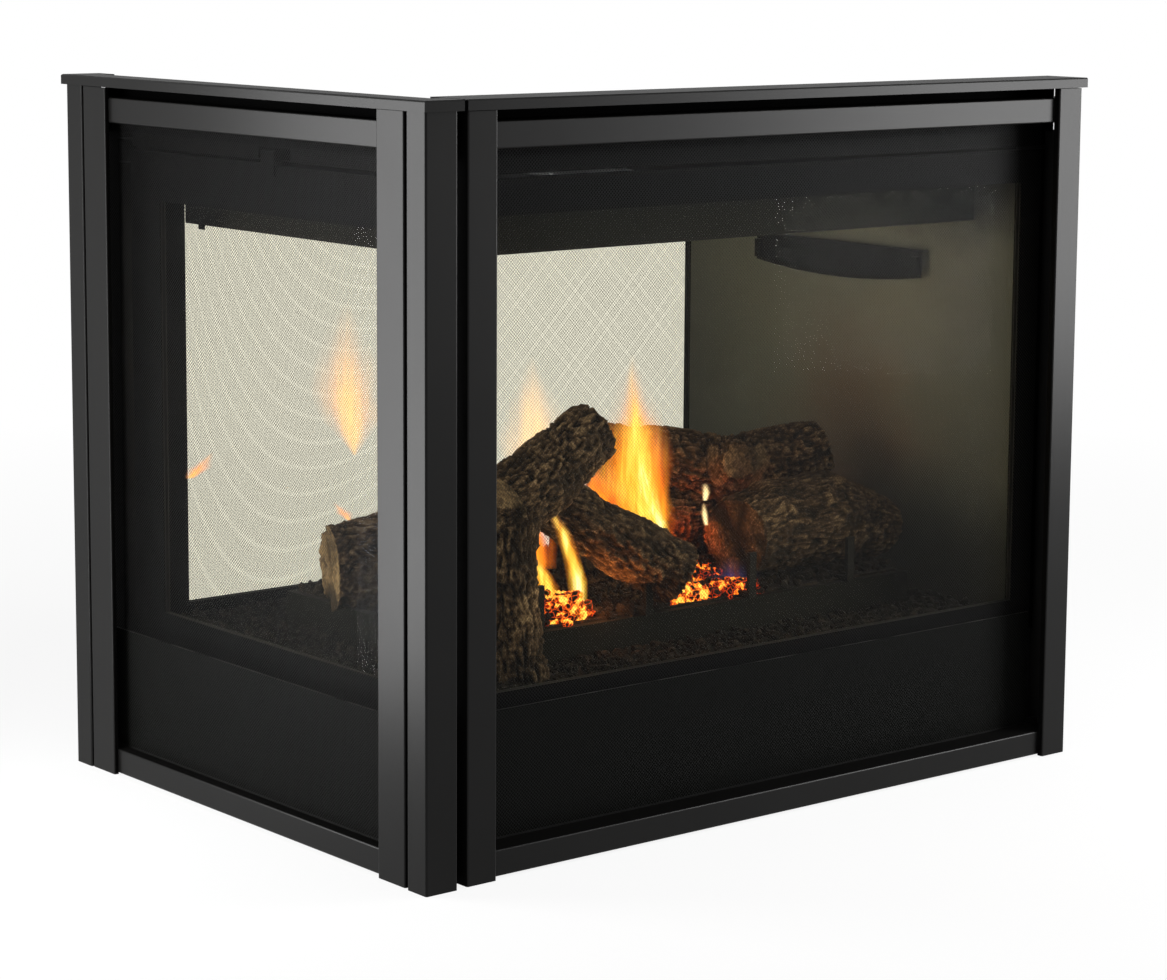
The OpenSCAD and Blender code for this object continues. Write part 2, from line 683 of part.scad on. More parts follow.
module mesh_sheet(u0, u1, mesh_in, top) {
    z0 = rail_lift + rail_h - 14;
    z1 = top - top_gap - rail_h + 14;
    hole = mesh_pitch / sqrt(2) - mesh_strand;
    mid = (u0 + u1) / 2;
    columns = ceil((u1 - u0) / mesh_pitch);
    rows = ceil((z1 - z0) / mesh_pitch);
    translate([0, mesh_in + mesh_t, 0]) rotate([90, 0, 0]) linear_extrude(mesh_t) difference() {
        translate([u0, z0]) square([u1 - u0, z1 - z0]);
        intersection() {
            translate([u0 + mesh_border, z0 + mesh_border]) square([u1 - u0 - 2 * mesh_border, z1 - z0 - 2 * mesh_border]);
            for (i = [-columns : columns], j = [0 : 2 * rows]) if ((i + j) % 2 == 0)
                translate([mid + i * mesh_pitch / 2, z0 + j * mesh_pitch / 2]) rotate(45) square(hole, center = true);
        }
    }
}

module lower_panel(u0, u1, mesh_in) {
    y0 = mesh_in + mesh_t;
    block([u0, y0, panel_z0], [u1, y0 + sheet_t, panel_z1]);
    block([u0, y0, panel_z1 - panel_lip], [u1, y0 + 2 * sheet_t, panel_z1]);
}

front_mesh_u0 = front_u0 + front_stile_w - mesh_tuck;
front_mesh_u1 = front_u1 - front_stile_w + mesh_tuck;
back_mesh_u1 = front_u1 - max(back_far_stile_w - mesh_tuck, 3 * sheet_t);
end_mesh_u = end_u - end_stile_w + mesh_tuck + 18;

module front_screen_frame() { color(trim_steel) on_front() long_screen_frame(front_stile_w, post_h); }
module back_screen_frame() { color(trim_steel) on_back() long_screen_frame(back_far_stile_w, deck_h); }
module end_screen_frame() { color(trim_steel) on_end() screen_frame(-end_u, end_u, end_stile_w, end_stile_w, end_wrap, end_wrap, end_rail_recess, end_mesh_in, end_header_in - seat_gap, post_h); }
module front_mesh() { color("#20201f") on_front() mesh_sheet(front_mesh_u0, front_mesh_u1, front_mesh_in, post_h); }
module back_mesh() { color("#20201f") on_back() mesh_sheet(front_mesh_u0, back_mesh_u1, front_mesh_in, deck_h); }
module end_mesh() { color("#20201f") on_end() mesh_sheet(-end_mesh_u, end_mesh_u, end_mesh_in, post_h); }
module front_lower_panel() { color(inner_steel) on_front() lower_panel(front_mesh_u0, front_mesh_u1, front_mesh_in); }
module back_lower_panel() { color(inner_steel) on_back() lower_panel(front_mesh_u0, back_mesh_u1, front_mesh_in); }
module end_lower_panel() { color(inner_steel) on_end() lower_panel(-end_mesh_u, end_mesh_u, end_mesh_in); }

// Burner and fire bed

module burner_tray() {
    color(inner_steel) difference() {
        block([tray_x0, -tray_y, floor_z], [tray_x1, tray_y, tray_top]);
        block([tray_x0 + sheet_t, -tray_y + sheet_t, floor_z - 1], [tray_x1 - sheet_t, tray_y - sheet_t, tray_top - sheet_t]);
        for (i = [0 : 17], y = [-1, 1]) translate([tray_x0 + 50 + i * 39, y * 90, tray_top - 5]) cylinder(h = 10, d = 6);
    }
}

module burner_tube() {
    color("silver") translate([tray_x0 + sheet_t, burner_y, burner_z]) rotate([0, 90, 0]) difference() {
        cylinder(h = tray_w - 2 * sheet_t, d = burner_tube_d);
        translate([0, 0, 2]) cylinder(h = tray_w - 2 * sheet_t - 4, d = burner_tube_d - 3);
        for (i = [0 : 17], a = [-30, 30]) translate([0, 0, 50 + i * 39]) rotate([0, 0, a]) rotate([0, -90, 0]) cylinder(h = burner_tube_d, d = 3, $fn = 16);
        translate([0, 0, feed_x - tray_x0 - sheet_t]) rotate([0, 90, 0]) cylinder(h = burner_tube_d, d = 4, $fn = 16);
    }
}

module grate_bar_row(gap, high) {
    low = tray_top + grate_lift - gap;
    for (i = [0 : grate_bars - 1]) translate([grate_x0 + i * grate_step, 0, 0])
        block([-7 - gap, -tray_y - 6 - gap, low], [7 + gap, tray_y + 6 + gap, tray_top + high]);
    for (y = [-1, 1])
        block([grate_x0 - gap, y * grate_rail_y - 6 - gap, low], [grate_x0 + (grate_bars - 1) * grate_step + gap, y * grate_rail_y + 6 + gap, tray_top + high]);
}

module log_grate() {
    color("#1c1b1a") {
        grate_bar_row(0, grate_t);
        for (i = [0 : grate_bars - 1]) translate([grate_x0 + i * grate_step, 0, 0]) for (side = [0, 1]) mirror([0, side, 0]) {
            block([-6, tray_y, tray_top + 1], [6, tray_y + 6, tray_top + grate_finger]);
            block([-6, tray_y - 9, tray_top], [6, tray_y, tray_top + grate_lift + weld]);
        }
    }
}

module ember_bed() {
    color("#4a4038") difference() {
        block([tray_x0 + ember_edge, -tray_y + ember_edge, tray_top], [tray_x1 - ember_edge, tray_y - ember_edge, tray_top + grate_t]);
        grate_bar_row(seat_gap, grate_t + 2);
    }
}

module lava_rock_bed() {
    edge = 8;
    color("#35302b") difference() {
        block([inner_x0 + edge, -inner_y + edge, floor_z], [end_wall_x - edge, inner_y - edge, floor_z + rock_h]);
        block([tray_x0 - 1, -tray_y - 1, floor_z - 1], [tray_x1 + 1, tray_y + 1, floor_z + 50]);
        fork_form(seat_gap);
        translate([pilot_x0 - 22, pilot_y - 4, floor_z - 1]) cube([66, 24, 50]);
    }
}

// Logs: straight runs between round sections, each point as [x, y, z, radius]
module log_run(points, grow) {
    n = len(points);
    for (i = [0 : n - 2]) hull() {
        log_section(points[i], points[i + 1] - points[max(i - 1, 0)], grow, i == 0 ? -grow : 0);
        log_section(points[i + 1], points[min(i + 2, n - 1)] - points[i], grow, i == n - 2 ? grow : 0);
    }
}

module log_section(p, way, grow, shift) {
    v = [way.x, way.y, way.z];
    translate([p.x, p.y, p.z]) rotate([0, acos(v.z / norm(v)), atan2(v.y, v.x)]) translate([0, 0, shift - 0.5]) cylinder(h = 1, r = p[3] + grow, $fn = 24);
}

// Points are [x from the tray's middle, y, height over the floor, radius], laid out for a tray 760 by 416
function lay(points) = [for (p = points)
    [(tray_x0 + tray_x1) / 2 + p.x * tray_w / 760, p.y * tray_y / 208, floor_z + p.z, p[3]]];
fork_trunk = lay([[-349, -258, -12, 42], [-345, -230, 100, 38], [-332, -211, 214, 44]]);
fork_arm = lay([[-345, -212, 216, 50], [-275, -202, 242, 49], [-225, -195, 272, 45], [-172, -186, 298, 40]]);
left_points = lay([[-463, 20, 116, 57], [-347, 16, 120, 62], [-215, 6, 114, 55]]);
leaning_points = lay([[-225, -136, 212, 40], [-143, -166, 160, 43], [-43, -208, 96, 47]]);
rear_points = lay([[-20, 26, 112, 55], [80, 30, 114, 58], [205, 34, 108, 55]]);
right_points = lay([[130, -124, 114, 56], [185, -115, 118, 64], [300, -113, 120, 69], [415, -126, 98, 40]]);
top_points = lay([[20, 42, 214, 48], [125, 22, 208, 42], [215, -10, 184, 48], [305, -40, 194, 50], [357, -53, 204, 43]]);
stub_points = lay([[215, -10, 196, 34], [195, -62, 204, 28]]);

module fork_form(grow) {
    log_run(fork_trunk, grow);
    log_run(fork_arm, grow);
}

// Cuts a log off flat where it rests on the bed
module seated(z) {
    difference() {
        children();
        block([-half_w, -half_d, 0], [half_w, half_d, z]);
    }
}

module fork_log() {
    color(bark) seated(floor_z + seat_gap) difference() {
        fork_form(0);
        block([tray_x0 - seat_gap, -tray_y - seat_gap, 0], [tray_x1, tray_y, tray_top + seat_gap]);
        block([tray_x0 + ember_edge - seat_gap, -tray_y + ember_edge - seat_gap, 0], [tray_x1, tray_y, log_seat]);
        translate([grate_x0, -tray_y - 3, 0]) block([-7, -4, tray_top], [7, 20, tray_top + grate_finger + 1]);
    }
}
module left_log() { color(bark) seated(log_seat) log_run(left_points, 0); }
module leaning_log() {
    color(bark) seated(log_seat) difference() {
        log_run(leaning_points, 0);
        fork_form(seat_gap);
        for (i = [0 : grate_bars - 1]) translate([grate_x0 + i * grate_step, -tray_y - 3, 0]) block([-7, -4, tray_top], [7, 4, tray_top + grate_finger + 1]);
    }
}
module rear_log() { color(bark) seated(log_seat) log_run(rear_points, 0); }
module right_log() { color(bark) seated(log_seat) log_run(right_points, 0); }
module top_log() {
    color(bark) difference() {
        union() {
            log_run(top_points, 0);
            log_run(stub_points, 0);
        }
        log_run(rear_points, seat_gap);
        log_run(right_points, seat_gap);
    }
}

// Pilot: bracket, hood, electrode and flame sensor behind the tray
pilot_x0 = (tray_x0 + tray_x1) / 2 + 43;
pilot_y = tray_y + 5;
module pilot_burner() {
    color("silver") translate([pilot_x0, pilot_y, floor_z]) {
        cube([40, 1.5, 40], center = false);
        translate([-18, 0, 0]) cube([58, 16, 1.5]);
        translate([10, 8, 0]) cylinder(h = 56, d = 12);
        translate([24, 8, 0]) cylinder(h = 62, d = 3);
        translate([34, 8, 0]) cylinder(h = 58, d = 6);
        translate([0, 4, 30]) cube([40, 8, 3]);
        translate([0, 0, 30]) cube([3, 12, 3]);
    }
}

// Controls

module control_bracket() {
    color(steel) difference() {
        union() {
            block([bracket_x0, bracket_y, sheet_t], [bracket_x1, bracket_y + sheet_t, bracket_h]);
            block([bracket_x0, bracket_y, sheet_t], [bracket_x1, bracket_y + bracket_foot, 2 * sheet_t]);
        }
        for (x = [pilot_x, flame_x]) translate([x, bracket_y - 5, control_z]) rotate([-90, 0, 0]) cylinder(h = 10, d = shaft_d + 6);
        translate([igniter_x, bracket_y - 5, control_z]) rotate([-90, 0, 0]) cylinder(h = 10, d = 18.6);
        block([switch_x - 10.3, bracket_y - 5, control_z - 14.3], [switch_x + 10.3, bracket_y + 5, control_z + 14.3]);
    }
}

module gas_valve() {
    color("lightgray") difference() {
        union() {
            block([valve_x - valve_w / 2, valve_y, valve_z0], [valve_x + valve_w / 2, valve_y + valve_d, valve_z1]);
            translate([feed_x, pipe_y, valve_z1 - 1]) cylinder(h = 9, d = 18, $fn = 6);
            translate([valve_x - valve_w / 2 + 8, valve_y + 8, 2 * sheet_t]) cube([valve_w - 16, valve_d - 20, valve_z0 - 2 * sheet_t + 1]);
        }
        for (x = [pilot_x, flame_x]) translate([x, valve_y - 1, control_z]) rotate([-90, 0, 0]) cylinder(h = 14, d = shaft_d + 2 * run_gap);
    }
}

module knob(x, d, l, grips) {
    y1 = bracket_y - 4;
    color("#1f1f1f") {
        translate([x, y1 - l, control_z]) rotate([-90, 0, 0]) difference() {
            cylinder(h = l, d = d);
            for (a = [0 : 360 / grips : 359]) rotate([0, 0, a]) translate([d / 2, 0, -1]) cylinder(h = l - 4, d = 3, $fn = 16);
            translate([-1, 4, -1]) cube([2, d / 2 - 6, 2]);
        }
        translate([x, y1 - 1, control_z]) rotate([-90, 0, 0]) cylinder(h = 4 + sheet_t + 12 + 1, d = shaft_d);
    }
}

module pilot_knob() { knob(pilot_x, pilot_knob_d, 22, 12); }
module flame_knob() { knob(flame_x, flame_knob_d, 18, 10); }

button_d = 10;
module igniter_body() {
    color("#1f1f1f") translate([igniter_x, bracket_y - 3, control_z]) rotate([-90, 0, 0]) difference() {
        union() {
            cylinder(h = 3, d = 24);
            cylinder(h = 48, d = 18);
        }
        translate([0, 0, -1]) cylinder(h = 24 + button_travel, d = button_d + 2 * run_gap);
    }
}

module igniter_button() {
    cap_y = bracket_y - 3 - button_travel - 1;
    color("#a02018") translate([igniter_x, cap_y, control_z]) rotate([-90, 0, 0]) {
        translate([0, 0, -6]) cylinder(h = 6, d = 14);
        translate([0, 0, -1]) cylinder(h = button_travel + 18, d = button_d);
    }
}

rocker_in = 6;
rocker_tilt = 8;
module switch_housing() {
    color("#1f1f1f") difference() {
        union() {
            block([switch_x - 13, bracket_y - 3, control_z - 18], [switch_x + 13, bracket_y, control_z + 18]);
            block([switch_x - 10, bracket_y - 1, control_z - 14], [switch_x + 10, bracket_y + 26, control_z + 14]);
        }
        block([switch_x - 7.5, bracket_y - 4, control_z - 11.5], [switch_x + 7.5, bracket_y + 14, control_z + 11.5]);
        translate([switch_x - 9.5, bracket_y + rocker_in, control_z]) rotate([0, 90, 0]) cylinder(h = 19, d = 3 + 2 * run_gap);
    }
}

module rocker_switch() {
    color("#2a2a2a") {
        translate([switch_x - 7, bracket_y + rocker_in, control_z]) rotate([-rocker_tilt, 0, 0]) rotate([90, 0, 90]) linear_extrude(14)
            polygon([[-6, -10], [-8, -10], [-10, 0], [-8, 10], [-6, 10], [2, 4], [2, -4]]);
        translate([switch_x - 9.3, bracket_y + rocker_in, control_z]) rotate([0, 90, 0]) cylinder(h = 18.6, d = 3);
    }
}

// Shut-off valve in the supply pipe, with its inlet flush in the closed end
module shutoff_valve() {
    x0 = valve_x + valve_w / 2;
    color(brass) difference() {
        union() {
            rod([x0, pipe_y, control_z], [half_w, pipe_y, control_z], gas_pipe_d);
            translate([shutoff_x - shutoff_size / 2, pipe_y - shutoff_size / 2, control_z - shutoff_size / 2]) cube(shutoff_size);
            rod([half_w - 26, pipe_y, control_z], [half_w, pipe_y, control_z], gas_pipe_d + 8);
        }
        translate([half_w - inlet_depth, pipe_y, control_z]) rotate([0, 90, 0]) cylinder(h = inlet_depth + 1, d = inlet_bore_d);
        translate([half_w - 50, pipe_y, control_z]) rotate([0, 90, 0]) cylinder(h = 40, d = 14);
        translate([shutoff_x, pipe_y - shutoff_size / 2 - 1, control_z]) rotate([-90, 0, 0]) cylinder(h = 13, d = shaft_d + 2 * run_gap);
    }
}

module shutoff_handle() {
    y1 = pipe_y - shutoff_size / 2;
    color("#b03020") {
        translate([shutoff_x, y1 - 9, control_z]) rotate([-90, 0, 0]) cylinder(h = 9 + 11, d = shaft_d);
        block([shutoff_x - 8, y1 - 10, control_z - 6], [shutoff_x + handle_l, y1 - 5, control_z + 6]);
    }
}

// Aluminium tube from the gas valve up through the firebox floor to the burner tube
module burner_feed_tube() {
    level = valve_z1 + 4 * feed_d;
    color("silver") tube_route([[feed_x, pipe_y, valve_z1 + 8], [feed_x, pipe_y, level], [feed_x, burner_y, level],
        [feed_x, burner_y, burner_z - burner_tube_d / 2]], feed_d);
}

base_pan();
end_casing();
top_deck();
corner_post_near();
corner_post_far();
front_cap();
end_cap();
back_cap();
cap_header();
column_near();
column_far();
firebox_floor();
firebox_end_wall();
firebox_ceiling();
exhaust_baffle();
outer_vent_collar();
inner_vent_collar();
front_glass_frame();
end_glass_frame();
back_glass_frame();
front_glass();
end_glass();
back_glass();
glass_gaskets();
front_latch();
end_latch();
back_latch();
front_screen_frame();
end_screen_frame();
back_screen_frame();
front_mesh();
end_mesh();
back_mesh();
front_lower_panel();
end_lower_panel();
back_lower_panel();
burner_tray();
burner_tube();
log_grate();
ember_bed();
lava_rock_bed();
fork_log();
leaning_log();
top_log();
right_log();
rear_log();
left_log();
pilot_burner();
control_bracket();
gas_valve();
pilot_knob();
flame_knob();
igniter_body();
igniter_button();
switch_housing();
rocker_switch();
shutoff_valve();
shutoff_handle();
burner_feed_tube();
screws();
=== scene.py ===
import json
import math
import random

import bmesh
import bpy
from mathutils import Matrix, Vector, noise


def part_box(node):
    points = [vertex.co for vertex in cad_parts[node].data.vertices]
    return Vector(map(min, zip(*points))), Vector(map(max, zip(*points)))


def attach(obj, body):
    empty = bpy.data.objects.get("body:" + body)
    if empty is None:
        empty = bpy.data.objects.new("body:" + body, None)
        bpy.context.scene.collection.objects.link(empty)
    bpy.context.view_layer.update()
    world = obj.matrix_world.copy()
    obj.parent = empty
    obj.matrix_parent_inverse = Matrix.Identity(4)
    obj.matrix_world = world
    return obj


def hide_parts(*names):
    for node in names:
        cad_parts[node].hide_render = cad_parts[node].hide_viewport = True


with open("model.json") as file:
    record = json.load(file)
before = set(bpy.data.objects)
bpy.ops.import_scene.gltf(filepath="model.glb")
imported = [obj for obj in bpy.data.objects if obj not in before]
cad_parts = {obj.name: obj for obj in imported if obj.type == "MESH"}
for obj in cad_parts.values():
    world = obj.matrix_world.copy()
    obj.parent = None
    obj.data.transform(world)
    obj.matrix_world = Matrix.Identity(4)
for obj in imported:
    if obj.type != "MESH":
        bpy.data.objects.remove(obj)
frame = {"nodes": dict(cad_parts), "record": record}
nodes = frame["nodes"]
scene = bpy.context.scene
noise.seed_set(11)  # noise_vector is seeded by the clock without this
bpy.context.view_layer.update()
print("frame loaded with", len(nodes), "nodes")


# small helpers for shader trees

def setInputs(tree, node, values):
    # an output is linked to the socket, and anything else is set on it
    for name, value in values.items():
        if hasattr(value, "is_output"):
            tree.links.new(value, node.inputs[name])
        else:
            node.inputs[name].default_value = value


def addNode(tree, kind, inputs=None, **settings):
    node = tree.nodes.new(kind)
    for name, value in settings.items():
        setattr(node, name, value)
    setInputs(tree, node, inputs or {})
    return node


def colour(red, green=None, blue=None):
    return (red, red if green is None else green, red if blue is None else blue, 1.0)


def groupTree(name, inputs, outputs):
    tree = bpy.data.node_groups.new(name, "ShaderNodeTree")
    for label, value in inputs.items():
        kind = "NodeSocketFloat" if isinstance(value, float) else "NodeSocketVector"
        tree.interface.new_socket(label, in_out="INPUT", socket_type=kind).default_value = value
    for label in outputs:
        tree.interface.new_socket(label, in_out="OUTPUT", socket_type="NodeSocketFloat")
    return tree, tree.nodes.new("NodeGroupInput").outputs, tree.nodes.new("NodeGroupOutput")


def objectPoint(tree):
    return tree.nodes.new("ShaderNodeTexCoord").outputs["Object"]


def splitNormal(tree):
    normal = tree.nodes.new("ShaderNodeNewGeometry").outputs["Normal"]
    return addNode(tree, "ShaderNodeSeparateXYZ", {"Vector": normal}).outputs


def splitLayer(tree, layer):
    painted = addNode(tree, "ShaderNodeVertexColor", layer_name=layer).outputs["Color"]
    return addNode(tree, "ShaderNodeSeparateColor", {"Color": painted}).outputs


def ramp(tree, value, stops):
    node = addNode(tree, "ShaderNodeValToRGB", {"Fac": value})
    points = node.color_ramp.elements
    points[0].position, points[0].color = stops[0]
    points[1].position, points[1].color = stops[-1]
    for place, tint in stops[1:-1]:
        points.new(place).color = tint
    return node.outputs["Color"]


def mixColour(tree, share, first, second):
    return addNode(tree, "ShaderNodeMix", {0: share, 6: first, 7: second}, data_type="RGBA").outputs[2]


def calc(tree, operation, first, second=0.5):
    return addNode(tree, "ShaderNodeMath", {0: first, 1: second}, operation=operation).outputs[0]


def remap(tree, value, fromLow, fromHigh, low=0.0, high=1.0, **settings):
    ends = {"From Min": fromLow, "From Max": fromHigh, "To Min": low, "To Max": high}
    return addNode(tree, "ShaderNodeMapRange", {"Value": value, **ends}, **settings).outputs["Result"]


def spread(tree, value, low, high):
    return remap(tree, value, 0.0, 1.0, low, high)


def cloud(tree, point, scale, detail, roughness=0.5):
    values = {"Vector": point, "Scale": scale, "Detail": detail, "Roughness": roughness}
    return addNode(tree, "ShaderNodeTexNoise", values).outputs["Fac"]


def bumpNormal(tree, height, strength, distance):
    values = {"Height": height, "Strength": strength, "Distance": distance}
    return addNode(tree, "ShaderNodeBump", values).outputs["Normal"]


def mixSurface(tree, share, first, second, end="Material Output"):
    mix = addNode(tree, "ShaderNodeMixShader", {0: share, 1: first.outputs[0], 2: second.outputs[0]})
    tree.links.new(mix.outputs[0], tree.nodes[end].inputs["Surface"])


# shared effects, each a group that several finishes use

def surfaceGrainGroup():
    # cloudy patches and a fine tooth
    sizes = {"Patch Scale": 6.0, "Tooth Scale": 900.0, "Stretch": (1.0, 1.0, 1.0)}
    tree, given, end = groupTree("surfaceGrain", sizes, ["Patch", "Tooth"])
    stretched = {0: objectPoint(tree), 1: given["Stretch"]}
    point = addNode(tree, "ShaderNodeVectorMath", stretched, operation="MULTIPLY").outputs[0]
    setInputs(tree, end, {"Patch": cloud(tree, point, given["Patch Scale"], 5.0, 0.6),
                          "Tooth": cloud(tree, point, given["Tooth Scale"], 2.0)})
    return tree


def dustAndHighlightGroup():
    # thin dust that gathers on faces that look up; laid on thick it is a painted highlight on the lower panels' top
    # lips
    tree, given, end = groupTree("settledDustAndHighlight", {"Scale": 14.0, "Amount": 0.3}, ["Mask"])
    up = remap(tree, splitNormal(tree)["Z"], 0.5, 1.0)
    specks = remap(tree, cloud(tree, objectPoint(tree), given["Scale"], 6.0, 0.7), 0.4, 0.75)
    share = calc(tree, "MULTIPLY", up, specks)
    setInputs(tree, end, {"Mask": calc(tree, "MULTIPLY", share, given["Amount"])})
    return tree


def sootGroup():
    # soot that thickens with height on firebox sheets, broken by a cloudy edge
    tree, given, end = groupTree("sootVeil", {"Low": 0.3, "High": 0.8}, ["Mask"])
    point = objectPoint(tree)
    height = addNode(tree, "ShaderNodeSeparateXYZ", {"Vector": point}).outputs["Z"]
    wavy = calc(tree, "ADD", height, spread(tree, cloud(tree, point, 5.0, 5.0, 0.6), -0.12, 0.12))
    setInputs(tree, end, {"Mask": remap(tree, wavy, given["Low"], given["High"])})
    return tree


effects = {"grain": surfaceGrainGroup(), "dustAndHighlight": dustAndHighlightGroup(), "soot": sootGroup()}


def useEffect(tree, name, **values):
    node = tree.nodes.new("ShaderNodeGroup")
    node.node_tree = effects[name]
    setInputs(tree, node, {label.replace("_", " "): value for label, value in values.items()})
    return node.outputs


def newMaterial(name):
    material = bpy.data.materials.new(name)
    material.use_nodes = True
    tree = material.node_tree
    return material, tree, tree.nodes["Principled BSDF"]


# every plain finish: two tints, roughness range, gloss, fine tooth, dust or soot where it gathers (the lower panels'
# heavy dust is a painted highlight), and painted shade on faces turned a given way
finishes = {
    # trim paint has painted shade on faces that look up: their gloss is taken down
    "trimPaint": dict(tints=(colour(0.003, 0.0029, 0.0028), colour(0.0045, 0.0044, 0.0042)), rough=(0.3, 0.36),
                      gloss=0.11, patch=5, tooth=1400, bump=0.02, shadeAxes=("Z",)),
    "casingSteel": dict(tints=(colour(0.006, 0.006, 0.0055), colour(0.01, 0.0095, 0.009)), rough=(0.5, 0.62),
                        gloss=0.15, patch=4, tooth=1200, bump=0.05, dustAndHighlight=0.1),
    # the lower panels' heavy dust is a painted highlight along their top lips
    "panelPaint": dict(tints=(colour(0.001, 0.0012, 0.0009), colour(0.0022, 0.0025, 0.0019)), rough=(0.5, 0.64),
                       gloss=0.02, patch=6, tooth=1300, bump=0.06, dustAndHighlight=0.7),
    "fireboxPaint": dict(tints=(colour(0.004, 0.0041, 0.0034), colour(0.008, 0.0077, 0.0064)), rough=(0.55, 0.72),
                         gloss=0.05, patch=5, tooth=1100, bump=0.08, dustAndHighlight=0.05, soot=(0.45, 1.0)),
    "framePaint": dict(tints=(colour(0.0008), colour(0.0016, 0.0016, 0.0015)), rough=(0.42, 0.55), gloss=0.012,
                       patch=5, tooth=1200, bump=0.05, dustAndHighlight=0.02),
    # near-black: painted shade for the recess behind the cap
    "recessShade": dict(tints=(colour(0.0002), colour(0.0005)), rough=(0.6, 0.75), gloss=0.01, patch=5, tooth=1200,
                        bump=0.05),
    "wireBlack": dict(tints=(colour(0.006), colour(0.011, 0.0109, 0.0105)), rough=(0.45, 0.6), gloss=0.2, patch=30,
                      tooth=1500),
    "gratePaint": dict(tints=(colour(0.003, 0.0027, 0.0024), colour(0.009, 0.0078, 0.0068)), rough=(0.6, 0.8),
                       gloss=0.1, patch=25, tooth=700, bump=0.25, dustAndHighlight=0.1),
    "brightSteel": dict(tints=(colour(0.45, 0.45, 0.44), colour(0.6, 0.6, 0.59)), metal=1.0, rough=(0.26, 0.4),
                        patch=12, tooth=900, bump=0.04, dustAndHighlight=0.05, stretch=(1, 1, 12)),
    "castAluminium": dict(tints=(colour(0.45), colour(0.58, 0.58, 0.57)), metal=1.0, rough=(0.4, 0.55), patch=20,
                          tooth=800, bump=0.12, dustAndHighlight=0.08),
    # the rope's own grey, kept lighter than the frames so that it also makes a painted highlight line along the lower
    # edges of the glass
    "gasketRope": dict(tints=(colour(0.018, 0.0175, 0.0165), colour(0.038, 0.037, 0.035)), rough=(0.85, 0.95),
                       gloss=0.1, patch=60, tooth=700, bump=0.4),
    "valveBrass": dict(tints=(colour(0.5, 0.34, 0.12), colour(0.66, 0.48, 0.2)), metal=1.0, rough=(0.28, 0.42),
                       patch=14, tooth=800, bump=0.05, dustAndHighlight=0.05),
    "blackPlastic": dict(tints=(colour(0.018), colour(0.026)), rough=(0.45, 0.58), patch=20, tooth=1200, bump=0.08,
                         dustAndHighlight=0.05),
    "redPlastic": dict(tints=(colour(0.42, 0.03, 0.02), colour(0.5, 0.045, 0.03)), rough=(0.3, 0.4), patch=20,
                       tooth=1200, bump=0.03, dustAndHighlight=0.04),
}
# the screen frames are the same paint, with painted shade on the folded sides that stand across the screen: their gloss
# is taken down there
finishes["longFramePaint"] = dict(finishes["trimPaint"], shadeAxes=("X", "Z"))
finishes["endFramePaint"] = dict(finishes["trimPaint"], shadeAxes=("Y", "Z"))
gathered = dict(soot=colour(0.004, 0.0038, 0.0035), dustAndHighlight=colour(0.16, 0.15, 0.14))
# bump depth, and for painted shade how far a face must turn and the gloss it keeps there
reliefAndShade = dict(depth=0.0004, turned=(0.6, 0.9), shadeGloss=0.004)


def paintMaterial(name, look):
    material, tree, shader = newMaterial(name)
    grain = useEffect(tree, "grain", Patch_Scale=look["patch"], Tooth_Scale=look["tooth"],
                      Stretch=look.get("stretch", (1, 1, 1)))
    tint = mixColour(tree, grain["Patch"], *look["tints"])
    if "soot" in look:
        low, high = look["soot"]
        tint = mixColour(tree, useEffect(tree, "soot", Low=low, High=high)["Mask"], tint, gathered["soot"])
    if "dustAndHighlight" in look:
        # dust, which on the lower panels is laid thick as a painted highlight
        tint = mixColour(tree, useEffect(tree, "dustAndHighlight", Amount=look["dustAndHighlight"])["Mask"], tint, gathered["dustAndHighlight"])
    gloss = look.get("gloss", 0.5)
    # painted shade: gloss taken down on faces turned along the listed axes
    if "shadeAxes" in look:
        facing = splitNormal(tree)
        turned = 0.0
        for axis in look["shadeAxes"]:
            turned = calc(tree, "MAXIMUM", turned, calc(tree, "ABSOLUTE", facing[axis]))
        gloss = remap(tree, turned, *reliefAndShade["turned"], gloss, reliefAndShade["shadeGloss"])
    setInputs(tree, shader, {"Base Color": tint, "Roughness": spread(tree, grain["Patch"], *look["rough"]),
                             "Metallic": look.get("metal", 0.0), "Specular IOR Level": gloss})
    if "bump" in look:
        setInputs(tree, shader, {"Normal": bumpNormal(tree, grain["Tooth"], look["bump"], reliefAndShade["depth"])})
    return material


materials = {name: paintMaterial(name, look) for name, look in finishes.items()}


def glassMaterial():
    # clear to shadow and diffuse rays, so that light passes straight through
    look = dict(tint=colour(0.985, 0.968, 0.87), through=colour(0.97, 0.953, 0.86), ior=1.045, smear=(0.0, 0.02))
    material, tree, shader = newMaterial("ceramicGlass")
    grain = useEffect(tree, "grain", Patch_Scale=3.0, Tooth_Scale=60.0)
    setInputs(tree, shader, {"Base Color": look["tint"], "Transmission Weight": 1.0, "IOR": look["ior"],
                             "Roughness": spread(tree, grain["Patch"], *look["smear"])})
    through = addNode(tree, "ShaderNodeBsdfTransparent", {"Color": look["through"]})
    path = tree.nodes.new("ShaderNodeLightPath").outputs
    mixSurface(tree, calc(tree, "MAXIMUM", path["Is Shadow Ray"], path["Is Diffuse Ray"]), shader, through)
    return material


